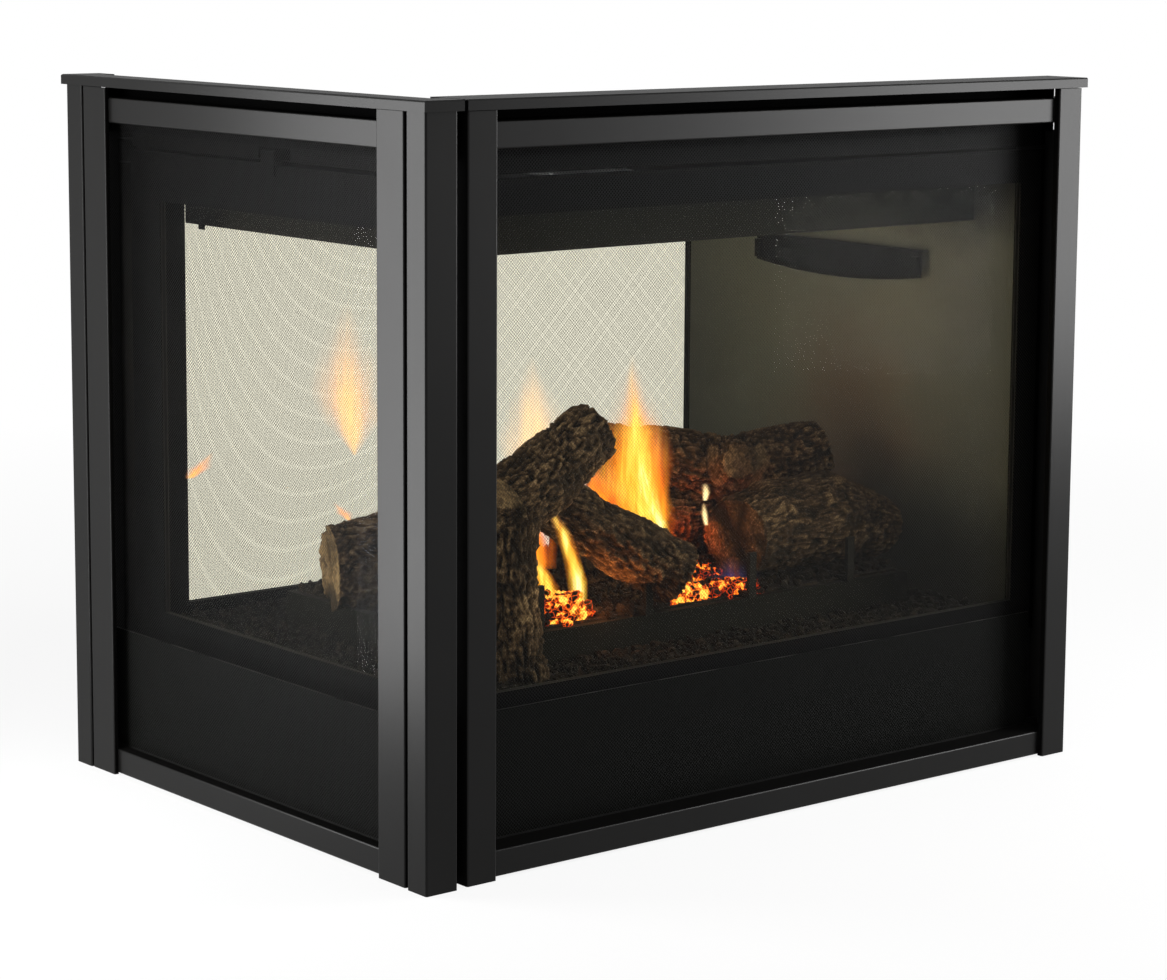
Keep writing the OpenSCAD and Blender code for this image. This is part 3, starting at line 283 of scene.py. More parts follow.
def endWallMaterial():
    # painted sheet behind the fire, with painted light and shade on it: a painted reflection, light in the middle, a
    # painted warm glow below it, and painted shade round that, near the bed and high up
    look = dict(cool=colour(0.16, 0.166, 0.13), warm=colour(0.14, 0.094, 0.06), dark=colour(0.009, 0.009, 0.0075),
                light=((0.53, 0.06, 0.63), 0.12, 0.46), heat=((0.53, -0.02, 0.4), 0.03, 0.24),
                bed=(0.42, 0.26), under=(0.67, 0.8), rough=(0.5, 0.66), gloss=0.2)
    material, tree, shader = newMaterial("endWallPaint")
    point = objectPoint(tree)
    grain = useEffect(tree, "grain", Patch_Scale=7.0, Tooth_Scale=900.0)
    height = addNode(tree, "ShaderNodeSeparateXYZ", {"Vector": point}).outputs["Z"]
    wavy = calc(tree, "ADD", height, spread(tree, grain["Patch"], -0.09, 0.09))

    def softStep(value, start, full):
        return remap(tree, value, start, full, interpolation_type="SMOOTHSTEP")

    def patch(centre, inner, outer):
        # 1 inside a soft round patch on the sheet, 0 outside it
        away = addNode(tree, "ShaderNodeVectorMath", {0: point, 1: centre}, operation="DISTANCE").outputs["Value"]
        return softStep(calc(tree, "ADD", away, spread(tree, grain["Patch"], -0.1, 0.1)), outer, inner)

    # painted warm glow low in the middle, then painted shade everywhere outside the painted reflection patch
    tint = mixColour(tree, patch(*look["heat"]), look["cool"], look["warm"])
    tint = mixColour(tree, spread(tree, patch(*look["light"]), 0.56, 0.0), tint, look["dark"])
    # painted shade near the bed and high up near the top of the chamber
    shaded = calc(tree, "MAXIMUM", softStep(wavy, *look["bed"]), softStep(wavy, *look["under"]))
    tint = mixColour(tree, calc(tree, "MULTIPLY", shaded, 0.8), tint, look["dark"])
    setInputs(tree, shader, {"Base Color": tint, "Roughness": spread(tree, grain["Patch"], *look["rough"]),
                             "Specular IOR Level": look["gloss"],
                             "Normal": bumpNormal(tree, grain["Tooth"], 0.08, reliefAndShade["depth"])})
    return material


def barkMaterial():
    # the carved maps: red is ridge height, green is sawn end, blue is char; barkFlow runs along each log
    look = dict(
        bark=[(0.42, colour(0.004, 0.0026, 0.0017)), (0.56, colour(0.02, 0.0115, 0.006)),
              (0.68, colour(0.065, 0.038, 0.02)), (0.79, colour(0.17, 0.108, 0.058)), (0.92, colour(0.45, 0.32, 0.19))],
        worn=(colour(0.004, 0.0027, 0.0018), colour(0.04, 0.024, 0.014)),
        wood=[(0.4, colour(0.03, 0.02, 0.0115)), (0.6, colour(0.12, 0.078, 0.043)), (0.88, colour(0.4, 0.28, 0.16))],
        charred=colour(0.004, 0.0035, 0.003), relief=0.004)
    material, tree, shader = newMaterial("logCeramic")
    maps = splitLayer(tree, "barkMaps")
    flow = addNode(tree, "ShaderNodeAttribute", attribute_name="barkFlow").outputs["Vector"]
    fibre = cloud(tree, flow, 330.0, 4.0, 0.7)
    grain = useEffect(tree, "grain", Patch_Scale=18.0, Tooth_Scale=420.0)
    fine = calc(tree, "ADD", calc(tree, "MULTIPLY", fibre, 0.45), calc(tree, "MULTIPLY", grain["Tooth"], 0.35))
    height = calc(tree, "ADD", calc(tree, "MULTIPLY", maps[0], 0.4), fine)
    wornShare = calc(tree, "MULTIPLY", remap(tree, grain["Patch"], 0.42, 0.62), 0.7)
    bark = mixColour(tree, wornShare, ramp(tree, height, look["bark"]), mixColour(tree, height, *look["worn"]))
    tint = mixColour(tree, maps[1], bark, ramp(tree, height, look["wood"]))
    setInputs(tree, shader, {"Base Color": mixColour(tree, maps[2], tint, look["charred"]),
                             "Roughness": spread(tree, grain["Tooth"], 0.75, 0.95), "Specular IOR Level": 0.12,
                             "Normal": bumpNormal(tree, height, 0.9, look["relief"])})
    return material


# loose lumps: tints from dark to light, and for embers how strongly they glow
lumpLooks = {
    "lavaRock": dict(tints=[(0.1, colour(0.002, 0.0017, 0.0015)), (0.6, colour(0.007, 0.0057, 0.0048)),
                            (0.95, colour(0.05, 0.042, 0.036))]),
    "emberFibre": dict(tints=[(0.1, colour(0.003, 0.0022, 0.0019)), (0.6, colour(0.01, 0.007, 0.0055)),
                              (0.95, colour(0.06, 0.045, 0.036))],
                       fire=[(0.1, colour(0, 0, 0)), (0.3, colour(0.5, 0.03, 0.002)), (0.6, colour(1, 0.24, 0.012)),
                             (0.95, colour(1, 0.62, 0.09))],
                       glow=1.8),
}


def lumpMaterial(name, look):
    # each lump's tint comes from a coarse cell pattern; embers glow where emberHeat says, in clouds and along seams
    material, tree, shader = newMaterial(name)
    point = objectPoint(tree)
    cells = addNode(tree, "ShaderNodeTexVoronoi", {"Vector": point, "Scale": 95.0}).outputs["Color"]
    grain = useEffect(tree, "grain", Patch_Scale=40.0, Tooth_Scale=420.0)
    tint = mixColour(tree, 0.5, ramp(tree, cells, look["tints"]), ramp(tree, grain["Patch"], look["tints"]))
    setInputs(tree, shader, {"Base Color": tint, "Roughness": spread(tree, grain["Tooth"], 0.7, 0.95),
                             "Specular IOR Level": 0.12, "Normal": bumpNormal(tree, grain["Tooth"], 0.6, 0.0015)})
    if "glow" in look:
        heat = addNode(tree, "ShaderNodeVertexColor", layer_name="emberHeat").outputs["Color"]
        edges = addNode(tree, "ShaderNodeTexVoronoi", {"Vector": point, "Scale": 120.0}, feature="DISTANCE_TO_EDGE")
        seams = remap(tree, edges.outputs["Distance"], 0.1, 0.0, 0.0, 0.45)
        coals = remap(tree, cloud(tree, point, 75.0, 3.0), 0.47, 0.66)
        burning = calc(tree, "MULTIPLY", heat, calc(tree, "ADD", seams, coals))
        setInputs(tree, shader, {"Emission Color": ramp(tree, burning, look["fire"]),
                                 "Emission Strength": look["glow"]})
    return material


def flameMaterial():
    # blaze holds cover in red, heat in green and paleness in blue
    look = dict(pale=colour(1.0, 0.68, 0.4), glow=1.9, stretch=(1.0, 1.0, 0.12), flicker=(-0.14, 0.1),
                thin=(0.6, 1.0),
                fire=[(0.0, colour(0.16, 0.13, 0.5)), (0.12, colour(0.6, 0.08, 0.02)), 
                      (0.35, colour(1.0, 0.2, 0.01)), (0.62, colour(1.0, 0.4, 0.025)), (0.85, colour(1.0, 0.66, 0.09)),
                      (1.0, colour(1.0, 0.87, 0.38))])
    material, tree, shader = newMaterial("flameFire")
    cover, heat, pale = splitLayer(tree, "blaze")
    point = addNode(tree, "ShaderNodeMapping", {"Vector": objectPoint(tree), "Scale": look["stretch"]}).outputs[0]
    streak = remap(tree, cloud(tree, point, 110.0, 3.0, 0.55), 0.38, 0.62)
    fire = ramp(tree, calc(tree, "ADD", heat, spread(tree, streak, *look["flicker"])), look["fire"])
    setInputs(tree, shader, {"Base Color": colour(0.0), "Specular IOR Level": 0.0, "Emission Strength": look["glow"],
                             "Emission Color": mixColour(tree, pale, fire, look["pale"]),
                             "Alpha": calc(tree, "MULTIPLY", cover, spread(tree, streak, *look["thin"]))})
    return material


materials.update(ceramicGlass=glassMaterial(), endWallPaint=endWallMaterial(), logCeramic=barkMaterial(),
                 flameFire=flameMaterial())
materials.update({name: lumpMaterial(name, look) for name, look in lumpLooks.items()})
print("materials made:", len(materials))

slotFinish = {
    "trim_paint": "trimPaint", "casing_steel": "casingSteel", "firebox_paint": "fireboxPaint",
    "mesh_wire": "wireBlack", "bright_steel": "brightSteel", "aluminium": "castAluminium",
    "ceramic_glass": "ceramicGlass", "gasket_rope": "gasketRope", "log_ceramic": "logCeramic",
    "ember_fibre": "emberFibre", "lava_rock": "lavaRock", "brass": "valveBrass", "black_plastic": "blackPlastic",
    "red_plastic": "redPlastic",
}
nodeFinish = {
    "firebox_end_wall": "endWallPaint", "front_lower_panel": "panelPaint", "end_lower_panel": "panelPaint",
    "back_lower_panel": "panelPaint", "front_glass_frame": "framePaint", "end_glass_frame": "framePaint",
    "back_glass_frame": "framePaint", "log_grate": "gratePaint", "front_screen_frame": "longFramePaint",
    "back_screen_frame": "longFramePaint", "end_screen_frame": "endFramePaint", "cap_header": "recessShade",
    "end_latch": "framePaint", "top_deck": "framePaint", "column_near": "framePaint", "column_far": "framePaint",
}
for part in frame["record"]["subparts"]:
    finish = nodeFinish.get(part["node"], slotFinish[part["material_slot"]])
    mesh = nodes[part["node"]].data
    mesh.materials.clear()
    mesh.materials.append(materials[finish])


def clamp(value, low=0.0, high=1.0):
    return max(low, min(high, value))


def addCube(bm, place, size, turn=Matrix()):
    bmesh.ops.create_cube(bm, size=1, matrix=Matrix.Translation(place) @ turn @ Matrix.Diagonal((*size, 1)))


def finishPiece(bm, name, material, body, replaced=(), smooth=True):
    mesh = bpy.data.meshes.new(name)
    bm.to_mesh(mesh)
    bm.free()
    mesh.polygons.foreach_set("use_smooth", [smooth] * len(mesh.polygons))
    mesh.materials.append(materials[material])
    piece = bpy.data.objects.new(name, mesh)
    scene.collection.objects.link(piece)
    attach(piece, body)
    if replaced:
        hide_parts(*replaced)
    return piece


# screen weave: two layers of straight wires across each opening, leaning either way, cut off at the opening's edges
weave = dict(wire=0.00024, pitch=0.00476, layer=0.0002, lean=45, reach=1.5)


def buildWeave(node, body, acrossY):
    low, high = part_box(node)
    bm = bmesh.new()
    axis = 1 if acrossY else 0
    middle = (low + high) / 2
    tall = high.z - low.z
    steps = int((high[axis] - low[axis] + tall) / weave["pitch"] / 2) + 1
    for layer in (-1, 1):
        turn = Matrix.Rotation(math.radians(-layer * weave["lean"]), 4, "XY"[1 - axis])
        for i in range(-steps, steps + 1):
            place = middle.copy()
            place[axis] += i * weave["pitch"]
            place[1 - axis] += layer * weave["layer"]
            addCube(bm, place, (weave["wire"], weave["wire"], weave["reach"] * tall), turn)
    sides = Vector((0, 0, 1)), Vector((0, 1, 0) if acrossY else (1, 0, 0))
    for way in sides:
        for corner, sign in ((high, 1), (low, -1)):
            everything = bm.verts[:] + bm.edges[:] + bm.faces[:]
            cut = bmesh.ops.bisect_plane(bm, geom=everything, plane_co=corner, plane_no=way * sign, clear_outer=True)
            edges = [item for item in cut["geom_cut"] if isinstance(item, bmesh.types.BMEdge)]
            bmesh.ops.holes_fill(bm, edges=edges, sides=8)
    return finishPiece(bm, node.replace("mesh", "weave"), "wireBlack", body, [node], smooth=False)


for side, acrossY in (("front", False), ("end", True), ("back", False)):
    buildWeave(side + "_mesh", side + "_screen", acrossY)
print("screens woven")

# folded end of the cap header at the closed end, a bare plate in the same near-black painted shade
headerReturn = dict(x=(0.5466, 0.5478), y=(-0.388, -0.35), z=(0.853, 0.914))


def buildHeaderReturn():
    ends = [headerReturn[axis] for axis in "xyz"]
    bm = bmesh.new()
    addCube(bm, [sum(pair) / 2 for pair in ends], [pair[1] - pair[0] for pair in ends])
    finishPiece(bm, "header_return", "recessShade", "fireplace", smooth=False)


buildHeaderReturn()
print("header return folded")

# logs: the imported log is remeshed, then bark is carved along its own grain
# lines run down the middle, char is where it fades in height, cut is how pale the sawn end is
logShapes = {
    "fork_log": dict(lines=[[(-0.302, -0.258, 0.178), (-0.298, -0.23, 0.29), (-0.285, -0.211, 0.404)],
                     [(-0.298, -0.212, 0.406), (-0.228, -0.202, 0.432), (-0.178, -0.195, 0.462),
                     (-0.125, -0.186, 0.488)]], seed=3.1, char=(0.2, 0.27), plate=0.011, rough=0.8),
    "leaning_log": dict(lines=[[(-0.178, -0.136, 0.402), (-0.096, -0.166, 0.35), (0.004, -0.208, 0.286)]], seed=9.4,
                        char=(0.235, 0.29), plate=0.01, rough=0.4, cut=0.4),
    "top_log": dict(lines=[[(0.067, 0.042, 0.404), (0.172, 0.022, 0.398), (0.262, -0.01, 0.374),
                    (0.352, -0.04, 0.384), (0.404, -0.053, 0.394)], [(0.262, -0.01, 0.386), (0.242, -0.062, 0.394)]],
                    seed=14.8, char=(0.28, 0.33), plate=0.01, rough=1.0),
    "right_log": dict(lines=[[(0.177, -0.124, 0.304), (0.232, -0.115, 0.308), (0.347, -0.113, 0.31),
                      (0.462, -0.126, 0.288)]], seed=22.5, char=(0.24, 0.3), plate=0.01, rough=0.1, cut=0.1),
    "rear_log": dict(lines=[[(0.027, 0.026, 0.302), (0.127, 0.03, 0.304), (0.252, 0.034, 0.298)]], seed=31.7,
                     char=(0.24, 0.33), plate=0.011, rough=0.7),
    "left_log": dict(lines=[[(-0.416, 0.02, 0.306), (-0.3, 0.016, 0.31), (-0.168, 0.006, 0.304)]], seed=40.2,
                     char=(0.24, 0.28), plate=0.011, rough=0.6, cut=0.8, slant=(-0.335, 0.38, 0.07)),
}
carving = dict(voxel=0.0025, smooth=3, depth=0.0075, knots=0.005, sawn=0.0056, stretch=0.26, wander=0.005, endOn=0.75)
noiseScale = dict(wander=30, swell=22, furrow=110, strand=330, grit=170, rings=900, ringBend=60)


def nearestOnLines(point, lines):
    # how far off the line, distance along it, its direction there, and the offset from it
    best = None
    for line in lines:
        gone = 0.0
        for a, b in zip(line, line[1:]):
            a, b = Vector(a), Vector(b)
            run = b - a
            share = clamp((point - a).dot(run) / run.length_squared)
            foot = a + run * share
            away = (point - foot).length
            if best is None or away < best[0]:
                best = (away, gone + share * run.length, run.normalized(), point - foot)
            gone += run.length
    return best


def remeshedLog(name):
    source = bmesh.new()
    source.from_mesh(nodes[name].data)
    bmesh.ops.remove_doubles(source, verts=source.verts, dist=0.00002)
    mesh = bpy.data.meshes.new("rough")
    source.to_mesh(mesh)
    source.free()
    rough = bpy.data.objects.new("rough", mesh)
    scene.collection.objects.link(rough)
    voxels = rough.modifiers.new("voxels", "REMESH")
    voxels.mode = "VOXEL"
    voxels.voxel_size = carving["voxel"]
    bm = bmesh.new()
    bm.from_object(rough, bpy.context.evaluated_depsgraph_get())
    bpy.data.objects.remove(rough)
    for _ in range(carving["smooth"]):
        bmesh.ops.smooth_vert(bm, verts=bm.verts, factor=0.5, use_axis_x=True, use_axis_y=True, use_axis_z=True)
    bm.normal_update()
    return bm


def carveLog(name, shape):
    bm = remeshedLog(name)
    maps = bm.verts.layers.float_color.new("barkMaps")
    flow = bm.verts.layers.float_vector.new("barkFlow")
    shift = Vector((shape["seed"], shape["seed"] * 0.7, -shape["seed"]))
    charLow, charHigh = shape["char"]
    barkDepth = carving["depth"] * (0.6 + 0.4 * shape["rough"])
    gritShare = 0.5 + 0.9 * shape["rough"]
    moves = []
    for vert in bm.verts:
        away, gone, way, offset = nearestOnLines(vert.co, shape["lines"])
        cross = offset - way * offset.dot(way)
        cross = cross.normalized() * away if cross.length > 1e-6 else cross
        side = way.orthogonal().normalized()
        across = Vector((cross.dot(side), cross.dot(way.cross(side)), gone * carving["stretch"]))
        wander = noise.noise_vector(vert.co * noiseScale["wander"] + shift) * carving["wander"]
        near = noise.voronoi((across + wander) / shape["plate"] + shift)[0]
        crack = clamp((near[1] - near[0]) * 3.2)
        swell = noise.fractal(vert.co * noiseScale["swell"] + shift, 0.8, 2.0, 4)
        ridge = clamp(abs(noise.noise((across + wander * 0.8) * noiseScale["furrow"] + shift)) * 3.0)
        strand = noise.noise(across * noiseScale["strand"] + shift)
        strand += gritShare * noise.noise(vert.co * noiseScale["grit"] - shift)
        sawn = 1.0 if abs(vert.normal.dot(way)) > carving["endOn"] else 0.0
        if sawn:
            bent = 6 * noise.noise(vert.co * noiseScale["ringBend"] + shift)
            rings = 0.5 + 0.5 * math.sin(away * noiseScale["rings"] + bent)
            angle = math.atan2(across.x, across.y)
            split = max(0.0, noise.noise(Vector((angle * 2.4, shape["seed"], 0))) - 0.15)
            height = 0.4 + 0.2 * rings - 1.2 * split + 0.5 * swell + 0.25 * strand
            step = -carving["sawn"] * (1 - height)
        else:
            height = clamp(0.25 + 0.32 * crack + 0.3 * ridge + 0.55 * strand + 0.3 * swell)
            step = carving["knots"] * clamp(swell, -0.4, 0.25) - barkDepth * (1 - height)
        moves.append((vert, step))
        burnt = 1 - clamp((vert.co.z - charLow + 0.02 * swell) / (charHigh - charLow))
        vert[flow] = across + wander
        vert[maps] = (clamp(height), sawn * shape.get("cut", 1.0), burnt * 0.85, 1)
    for vert, step in moves:
        vert.co += vert.normal * step
        if "slant" in shape:
            start, lean, over = shape["slant"]
            vert.co.x += lean * clamp((start - vert.co.x) / over) * max(0.0, vert.co.y + 0.04)
    return finishPiece(bm, name + "_bark", "logCeramic", "fireplace", [name])


for name, shape in logShapes.items():
    carveLog(name, shape)
print("logs carved:", len(logShapes))

# loose fire bed: small broken lumps on and around the tray
beds = {
    "rock_granules": dict(node="lava_rock_bed", material="lavaRock", slot="lava_rock", seed=5, count=5200,
                          size=(0.0035, 0.0075), floor=0.3, proud=0.0015, offTray=True),
    "ember_lumps": dict(node="ember_bed", material="emberFibre", slot="ember_fibre", seed=8, count=2600, heaped=130,
                        size=(0.004, 0.009), floor=0.4, proud=0.012,
                        # where embers glow: x, y, radius, warmth and height of the heap
                        spots=[(-0.162, -0.18, 0.042, 1.0, 0.024), (-0.19, -0.165, 0.035, 0.9, 0.028),
                               (0.045, -0.182, 0.045, 1.0, 0.01), (0.125, -0.18, 0.042, 0.8, 0.004),
                               (0.12, -0.07, 0.07, 0.8, 0.015)]),
}
lumpShape = dict(batch=120, clear=0.004, margin=0.01, ragged=0.22)
trayLow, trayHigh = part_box("burner_tray")


def onTray(x, y):
    edge = lumpShape["clear"]
    return trayLow.x - edge < x < trayHigh.x + edge and trayLow.y - edge < y < trayHigh.y + edge


def heatLayer(bm):
    layers = bm.verts.layers.float_color
    return layers.get("emberHeat") or layers.new("emberHeat")


def loweredBed(node, low, high, floor):
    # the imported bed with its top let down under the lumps
    base = bmesh.new()
    base.from_mesh(nodes[node].data)
    bmesh.ops.remove_doubles(base, verts=base.verts, dist=0.00002)
    for vert in base.verts:
        if vert.co.z > (low.z + high.z) / 2:
            vert.co.z = low.z + (high.z - low.z) * floor
    return base


def scatterLumps(name, bed):
    dice = random.Random(bed["seed"])
    node, spots = bed["node"], bed.get("spots", ())
    low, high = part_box(node)
    bm = loweredBed(node, low, high, bed["floor"])
    if spots:
        cold = heatLayer(bm)
        for vert in bm.verts:
            vert[cold] = (0, 0, 0, 1)
    mesh = bpy.data.meshes.new("bed")
    batch = bmesh.new()
    made = 0
    total = bed["count"] + bed.get("heaped", 0) * len(spots)
    margin = lumpShape["margin"]
    while made < total:
        x, y = dice.uniform(low.x, high.x), dice.uniform(low.y, high.y)
        if made >= bed["count"]:
            spot = spots[made % len(spots)]
            x, y = (clamp(spot[i] + dice.gauss(0, 0.4) * spot[2], low[i] + margin, high[i] - margin) for i in range(2))
        if "offTray" in bed and onTray(x, y):
            continue
        warm, heap = 0.0, 0.0
        for spotX, spotY, radius, warmth, rise in spots:
            near = max(0.0, 1 - math.hypot(x - spotX, y - spotY) / radius)
            warm, heap = max(warm, warmth * min(1.0, 2.4 * near)), max(heap, rise * min(1.0, 1.5 * near))
        size = dice.uniform(*bed["size"])
        top = high.z + bed["proud"] - size + heap
        z = dice.uniform(low.z + size * 0.4, max(low.z + size * 0.5, top))
        turn = Matrix.Rotation(dice.uniform(0, 6.28), 4, Vector([dice.uniform(-1, 1) for _ in range(3)]).normalized())
        grow = Matrix.Diagonal([size * dice.uniform(*ends) for ends in ((0.7, 1.3), (0.7, 1.2), (0.6, 1.0))] + [1])
        layer = heatLayer(batch) if spots else None
        stance = Matrix.Translation((x, y, z)) @ turn @ grow
        lump = bmesh.ops.create_icosphere(batch, subdivisions=1, radius=1, matrix=stance)
        for vert in lump["verts"]:
            vert.co += Vector([dice.uniform(-1, 1) for _ in range(3)]) * size * lumpShape["ragged"]
            if spots:
                vert[layer] = (warm, warm, warm, 1)
        made += 1
        if made % lumpShape["batch"] == 0 or made == total:
            batch.to_mesh(mesh)
            bm.from_mesh(mesh)
            batch.clear()
    batch.free()
    return finishPiece(bm, name, bed["material"], "fireplace", [node], smooth=False)


for name, bed in beds.items():
    scatterLumps(name, bed)
print("fire bed laid")

# flames: soft crossing ribbons over the burner, visual only
# each stands in the plane y, and its spine gives x, z and half width from foot to tip
flames = [
    dict(y=-0.09, cover=0.98, heat=1.0, seed=2.0, spine=[(0.084, 0.298, 0.008), (0.07, 0.332, 0.012),
         (0.053, 0.365, 0.015), (0.041, 0.4, 0.018), (0.033, 0.432, 0.019), (0.028, 0.457, 0.018),
         (0.026, 0.478, 0.016), (0.023, 0.503, 0.012), (0.021, 0.534, 0.009), (0.022, 0.565, 0.005)]),
    dict(y=-0.06, cover=1.0, heat=0.82, seed=3.4, spine=[(0.096, 0.292, 0.011), (0.079, 0.326, 0.03),
         (0.064, 0.359, 0.038), (0.052, 0.395, 0.046), (0.053, 0.426, 0.046), (0.058, 0.453, 0.04),
         (0.057, 0.469, 0.032), (0.052, 0.495, 0.024), (0.046, 0.545, 0.012)]),
    dict(y=-0.12, cover=0.5, heat=0.5, seed=4.2, spine=[(0.055, 0.34, 0.006), (0.046, 0.382, 0.011),
         (0.042, 0.413, 0.013), (0.04, 0.444, 0.013), (0.039, 0.476, 0.008)]),
    dict(y=-0.03, cover=0.85, heat=0.4, seed=4.9, spine=[(0.084, 0.315, 0.014), (0.059, 0.349, 0.026),
         (0.041, 0.376, 0.024), (0.03, 0.408, 0.01)]),
    dict(y=0.0, cover=1.0, heat=0.45, seed=4.6, spine=[(0.052, 0.345, 0.014), (0.038, 0.366, 0.022),
         (0.032, 0.384, 0.016), (0.028, 0.402, 0.004)]),
    dict(y=0.0, cover=0.9, heat=0.43, seed=5.8, spine=[(-0.068, 0.27, 0.02), (-0.074, 0.305, 0.024),
         (-0.08, 0.335, 0.02), (-0.085, 0.36, 0.006)]),
    dict(y=-0.178, cover=1.0, heat=0.98, seed=5.1, spine=[(-0.139, 0.258, 0.009), (-0.142, 0.291, 0.0105),
         (-0.155, 0.328, 0.0095), (-0.168, 0.359, 0.008), (-0.181, 0.378, 0.006), (-0.189, 0.404, 0.001)]),
    dict(y=-0.17, cover=0.98, heat=0.92, seed=6.6, spine=[(-0.181, 0.27, 0.015), (-0.188, 0.29, 0.014),
         (-0.197, 0.31, 0.011), (-0.208, 0.327, 0.006), (-0.218, 0.34, 0.001)]),
    dict(y=0.1, cover=0.5, heat=0.8, pale=0.8, seed=7.7, spine=[(0.004, 0.3, 0.03), (0.004, 0.385, 0.034),
         (0.005, 0.426, 0.036), (0.003, 0.468, 0.032), (0.001, 0.503, 0.022), (0.001, 0.545, 0.005)]),
    dict(y=0.1, cover=0.55, heat=0.7, pale=0.6, seed=9.3, spine=[(-0.296, 0.435, 0.003), (-0.302, 0.482, 0.03),
         (-0.308, 0.523, 0.04), (-0.31, 0.569, 0.034), (-0.309, 0.64, 0.008)]),
    dict(y=0.25, cover=0.6, heat=0.6, pale=0.3, seed=10.1, spine=[(-0.457, 0.4, 0.006), (-0.441, 0.412, 0.014),
         (-0.42, 0.432, 0.002)]),
    dict(y=0.1, cover=0.6, heat=0.5, pale=0.4, seed=10.6, spine=[(-0.304, 0.348, 0.003), (-0.315, 0.36, 0.009),
         (-0.33, 0.376, 0.002)]),
    dict(y=-0.13, cover=1.0, heat=1.3, pale=0.6, seed=11.0, spine=[(0.117, 0.362, 0.003), (0.119, 0.373, 0.0055),
         (0.117, 0.386, 0.005)]),
    dict(y=-0.13, cover=1.0, heat=1.3, pale=0.6, seed=11.6, spine=[(0.12, 0.328, 0.003), (0.116, 0.345, 0.0045),
         (0.115, 0.359, 0.003)]),
    dict(y=-0.15, cover=0.06, heat=0.03, seed=12.3, spine=[(0.148, 0.245, 0.035), (0.148, 0.262, 0.03),
         (0.148, 0.285, 0.012)]),
    dict(y=-0.178, cover=0.85, heat=0.85, seed=13.9, spine=[(0.053, 0.245, 0.012), (0.056, 0.255, 0.011),
         (0.06, 0.27, 0.003)]),
    dict(y=-0.182, cover=0.35, heat=0.5, seed=14.4, spine=[(-0.155, 0.24, 0.02), (-0.155, 0.262, 0.018),
         (-0.155, 0.285, 0.006)]),
]
ribbons = dict(count=4, across=8, along=26, firstTurn=12, ripple=0.3, bend=0.2)


def alongSpine(spine, t):
    place = t * (len(spine) - 1)
    index = min(int(place), len(spine) - 2)
    share = place - index
    share = share * 0.6 + (3 * share ** 2 - 2 * share ** 3) * 0.4
    return Vector(spine[index]).lerp(Vector(spine[index + 1]), share)


def buildFlame(number, flame):
    bm = bmesh.new()
    blaze = bm.verts.layers.float_color.new("blaze")
    shift = Vector((flame["seed"],) * 3)
    paleness = flame.get("pale", 0.0)
    for step in range(ribbons["count"]):
        turn = math.radians(180 / ribbons["count"] * step + ribbons["firstTurn"])
        sideX, sideY = math.cos(turn), math.sin(turn)
        depth = 0.75 * abs(sideY) + abs(sideX)
        grid = bmesh.ops.create_grid(bm, x_segments=ribbons["across"], y_segments=ribbons["along"], size=1)
        for vert in grid["verts"]:
            u, t = vert.co.x, (vert.co.y + 1) / 2
            x, z, wide = alongSpine(flame["spine"], t)
            ripple = 1 + ribbons["ripple"] * noise.noise(Vector((u * 1.2, step, z * 26)) + shift)
            bend = noise.noise_vector(Vector((0, step * 0.35, z * 13)) + shift) * ribbons["bend"] * wide * t
            core = 1 - u * u
            fade = min(1.0, t * 7 + 0.25) * min(1.0, (1 - t) * 1.7) ** 1.4
            vert[blaze] = (flame["cover"] * core ** 1.6 * fade, flame["heat"] * (0.5 + 0.5 * core) * (1 - 0.3 * t),
                           min(1.0, paleness + 0.4 * t ** 4 * (1 - paleness)), 1)
            out = u * wide * ripple * depth
            vert.co = Vector((x + bend.x + sideX * out, flame["y"] + bend.y + sideY * out, z))
    return finishPiece(bm, "flame_%02d" % number, "flameFire", "fireplace")


for number, flame in enumerate(flames, 1):
    buildFlame(number, flame)
print("flames lit:", len(flames))


# stage, light and camera

def whiteRays(tree):
    # 1 for the rays that see a white studio: camera, transmission and glossy
    path = tree.nodes.new("ShaderNodeLightPath").outputs
    seen = calc(tree, "MAXIMUM", path["Is Camera Ray"], path["Is Transmission Ray"])
    return calc(tree, "MAXIMUM", seen, path["Is Glossy Ray"])


def buildFloor():
    # white to those rays, less so near the object so that its shadow shows
    look = dict(half=14.0, under=0.0005, tint=colour(0.82, 0.82, 0.815), show=0.88, near=1.1, far=3.2)
    material, tree, shader = newMaterial("paleFloor")
    setInputs(tree, shader, {"Base Color": look["tint"], "Roughness": 0.6, "Specular IOR Level": 0.2})
    white = addNode(tree, "ShaderNodeEmission", {"Color": colour(1.0), "Strength": 1.0})
    away = addNode(tree, "ShaderNodeVectorMath", {0: objectPoint(tree)}, operation="LENGTH").outputs["Value"]
    share = calc(tree, "MULTIPLY", whiteRays(tree), remap(tree, away, look["near"], look["far"], look["show"], 1.0))
    mixSurface(tree, share, shader, white)
    bm = bmesh.new()
    bmesh.ops.create_grid(bm, x_segments=1, y_segments=1, size=look["half"],
                          matrix=Matrix.Translation((0, 0, -look["under"])))
    mesh = bpy.data.meshes.new("floor")
    bm.to_mesh(mesh)
    bm.free()
    mesh.materials.append(material)
    floor = bpy.data.objects.new("floor", mesh)
    scene.collection.objects.link(floor)


def buildWorld():
    look = dict(sky=colour(0.9), lit=0.32)
    world = bpy.data.worlds.new("studio")
    scene.world = world
    world.use_nodes = True
    tree = world.node_tree
    back = tree.nodes["Background"]
    setInputs(tree, back, {"Color": look["sky"], "Strength": look["lit"]})
    white = addNode(tree, "ShaderNodeBackground", {"Color": colour(1.0), "Strength": 1.0})
    mixSurface(tree, whiteRays(tree), back, white, "World Output")


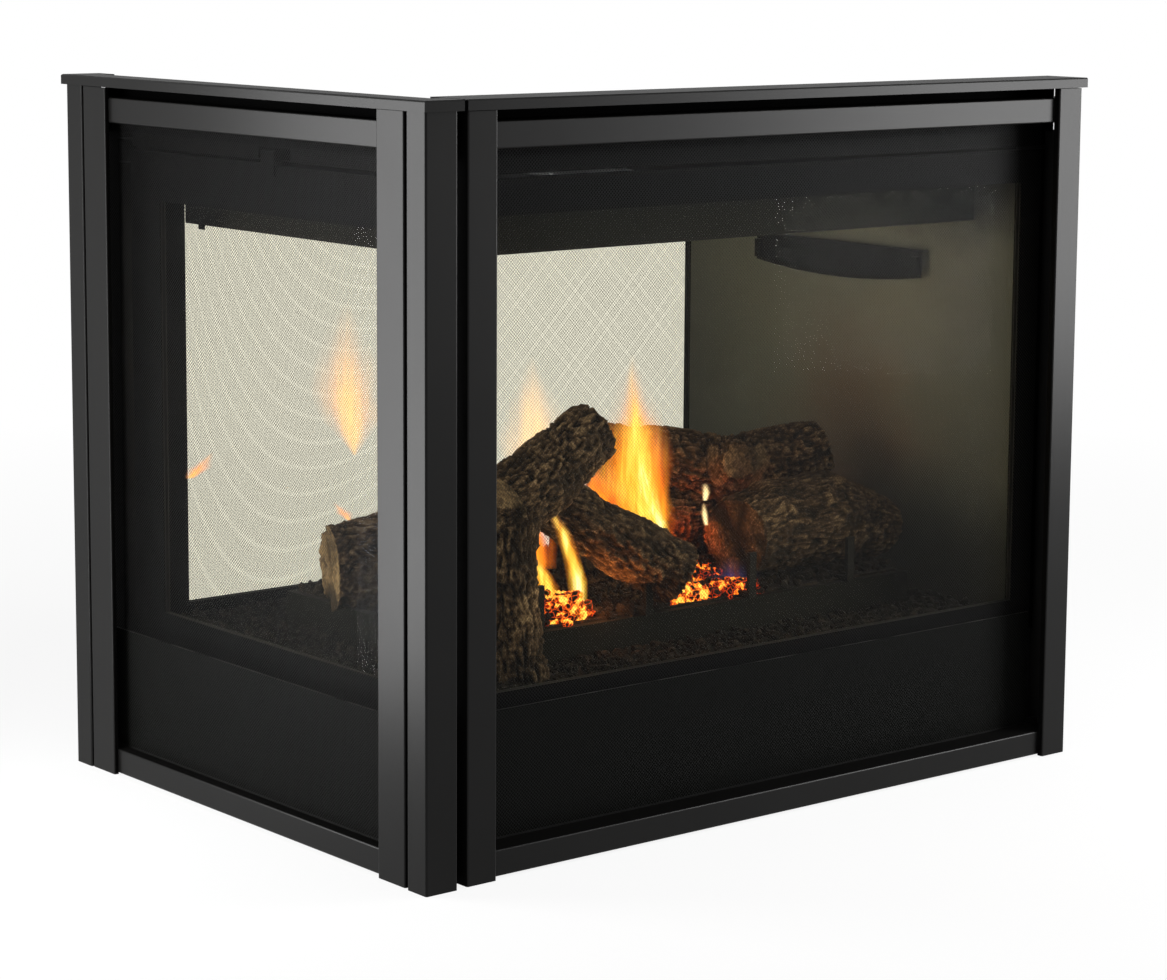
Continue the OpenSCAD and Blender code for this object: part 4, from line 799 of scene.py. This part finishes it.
# big panels give the paint its gradients, and small warm lamps light what the fire would
lamps = {
    "overheadPanel": dict(at=(-0.4, -1.4, 3.6), aim=(0, 0, 0.3), size=(3.0, 3.0), power=45, glossy=True),
    "leftPanel": dict(at=(-1.18, 0.37, 0.56), aim=(-0.55, -0.36, 0.5), size=(0.5, 1.18), power=20, glossy=True),
    "rightPanel": dict(at=(1.56, -1.4, 0.95), aim=(0.5, -0.38, 0.75), size=(0.8, 1.3), power=52, glossy=True),
    "chamberGlow": dict(at=(0.1, -0.05, 0.72), aim=(0.42, 0.05, 0.45), size=(0.4, 0.3), power=0.2,
                        tint=(1.0, 0.75, 0.5)),
    "mainFireGlow": dict(at=(0.03, -0.07, 0.36), power=1.0, radius=0.03, tint=(1.0, 0.45, 0.12)),
    "leftFireGlow": dict(at=(-0.125, -0.215, 0.275), power=0.42, radius=0.02, tint=(1.0, 0.36, 0.08)),
    "barkGlow": dict(at=(0.09, -0.1, 0.365), power=0.25, radius=0.015, tint=(1.0, 0.5, 0.2)),
    "rearFireGlow": dict(at=(0.14, -0.05, 0.3), power=0.35, radius=0.015, tint=(1.0, 0.14, 0.02)),
}


def addLamp(name, look):
    lamp = bpy.data.lights.new(name, "AREA" if "size" in look else "POINT")
    holder = bpy.data.objects.new(name, lamp)
    holder.location = look["at"]
    lamp.energy = look["power"]
    lamp.color = look.get("tint", (1, 1, 1))
    if "size" in look:
        lamp.shape = "RECTANGLE"
        lamp.size, lamp.size_y = look["size"]
        holder.rotation_euler = (Vector(look["aim"]) - Vector(look["at"])).to_track_quat("-Z", "Y").to_euler()
    else:
        lamp.shadow_soft_size = look["radius"]
    holder.visible_camera = False
    holder.visible_transmission = False
    holder.visible_glossy = look.get("glossy", False)
    scene.collection.objects.link(holder)


def buildCamera():
    look = dict(at=(-2.7152, -3.3287, 1.1199), yaw=39.319, pitch=-8.288, roll=0.353, lens=99.202, shift=-0.0771)
    camera = bpy.data.cameras.new("camera")
    camera.sensor_width = 36
    camera.lens = look["lens"]
    camera.shift_y = look["shift"]
    camera.clip_end = 60
    holder = bpy.data.objects.new("camera", camera)
    turns = ((-look["yaw"], "Z"), (90 + look["pitch"], "X"), (look["roll"], "Z"))
    yaw, pitch, roll = (Matrix.Rotation(math.radians(angle), 4, axis) for angle, axis in turns)
    holder.matrix_world = Matrix.Translation(look["at"]) @ yaw @ pitch @ roll
    scene.collection.objects.link(holder)
    scene.camera = holder


buildFloor()
buildWorld()
for name, look in lamps.items():
    addLamp(name, look)
buildCamera()
scene.view_settings.view_transform = "Standard"
print("stage, lights and camera set")
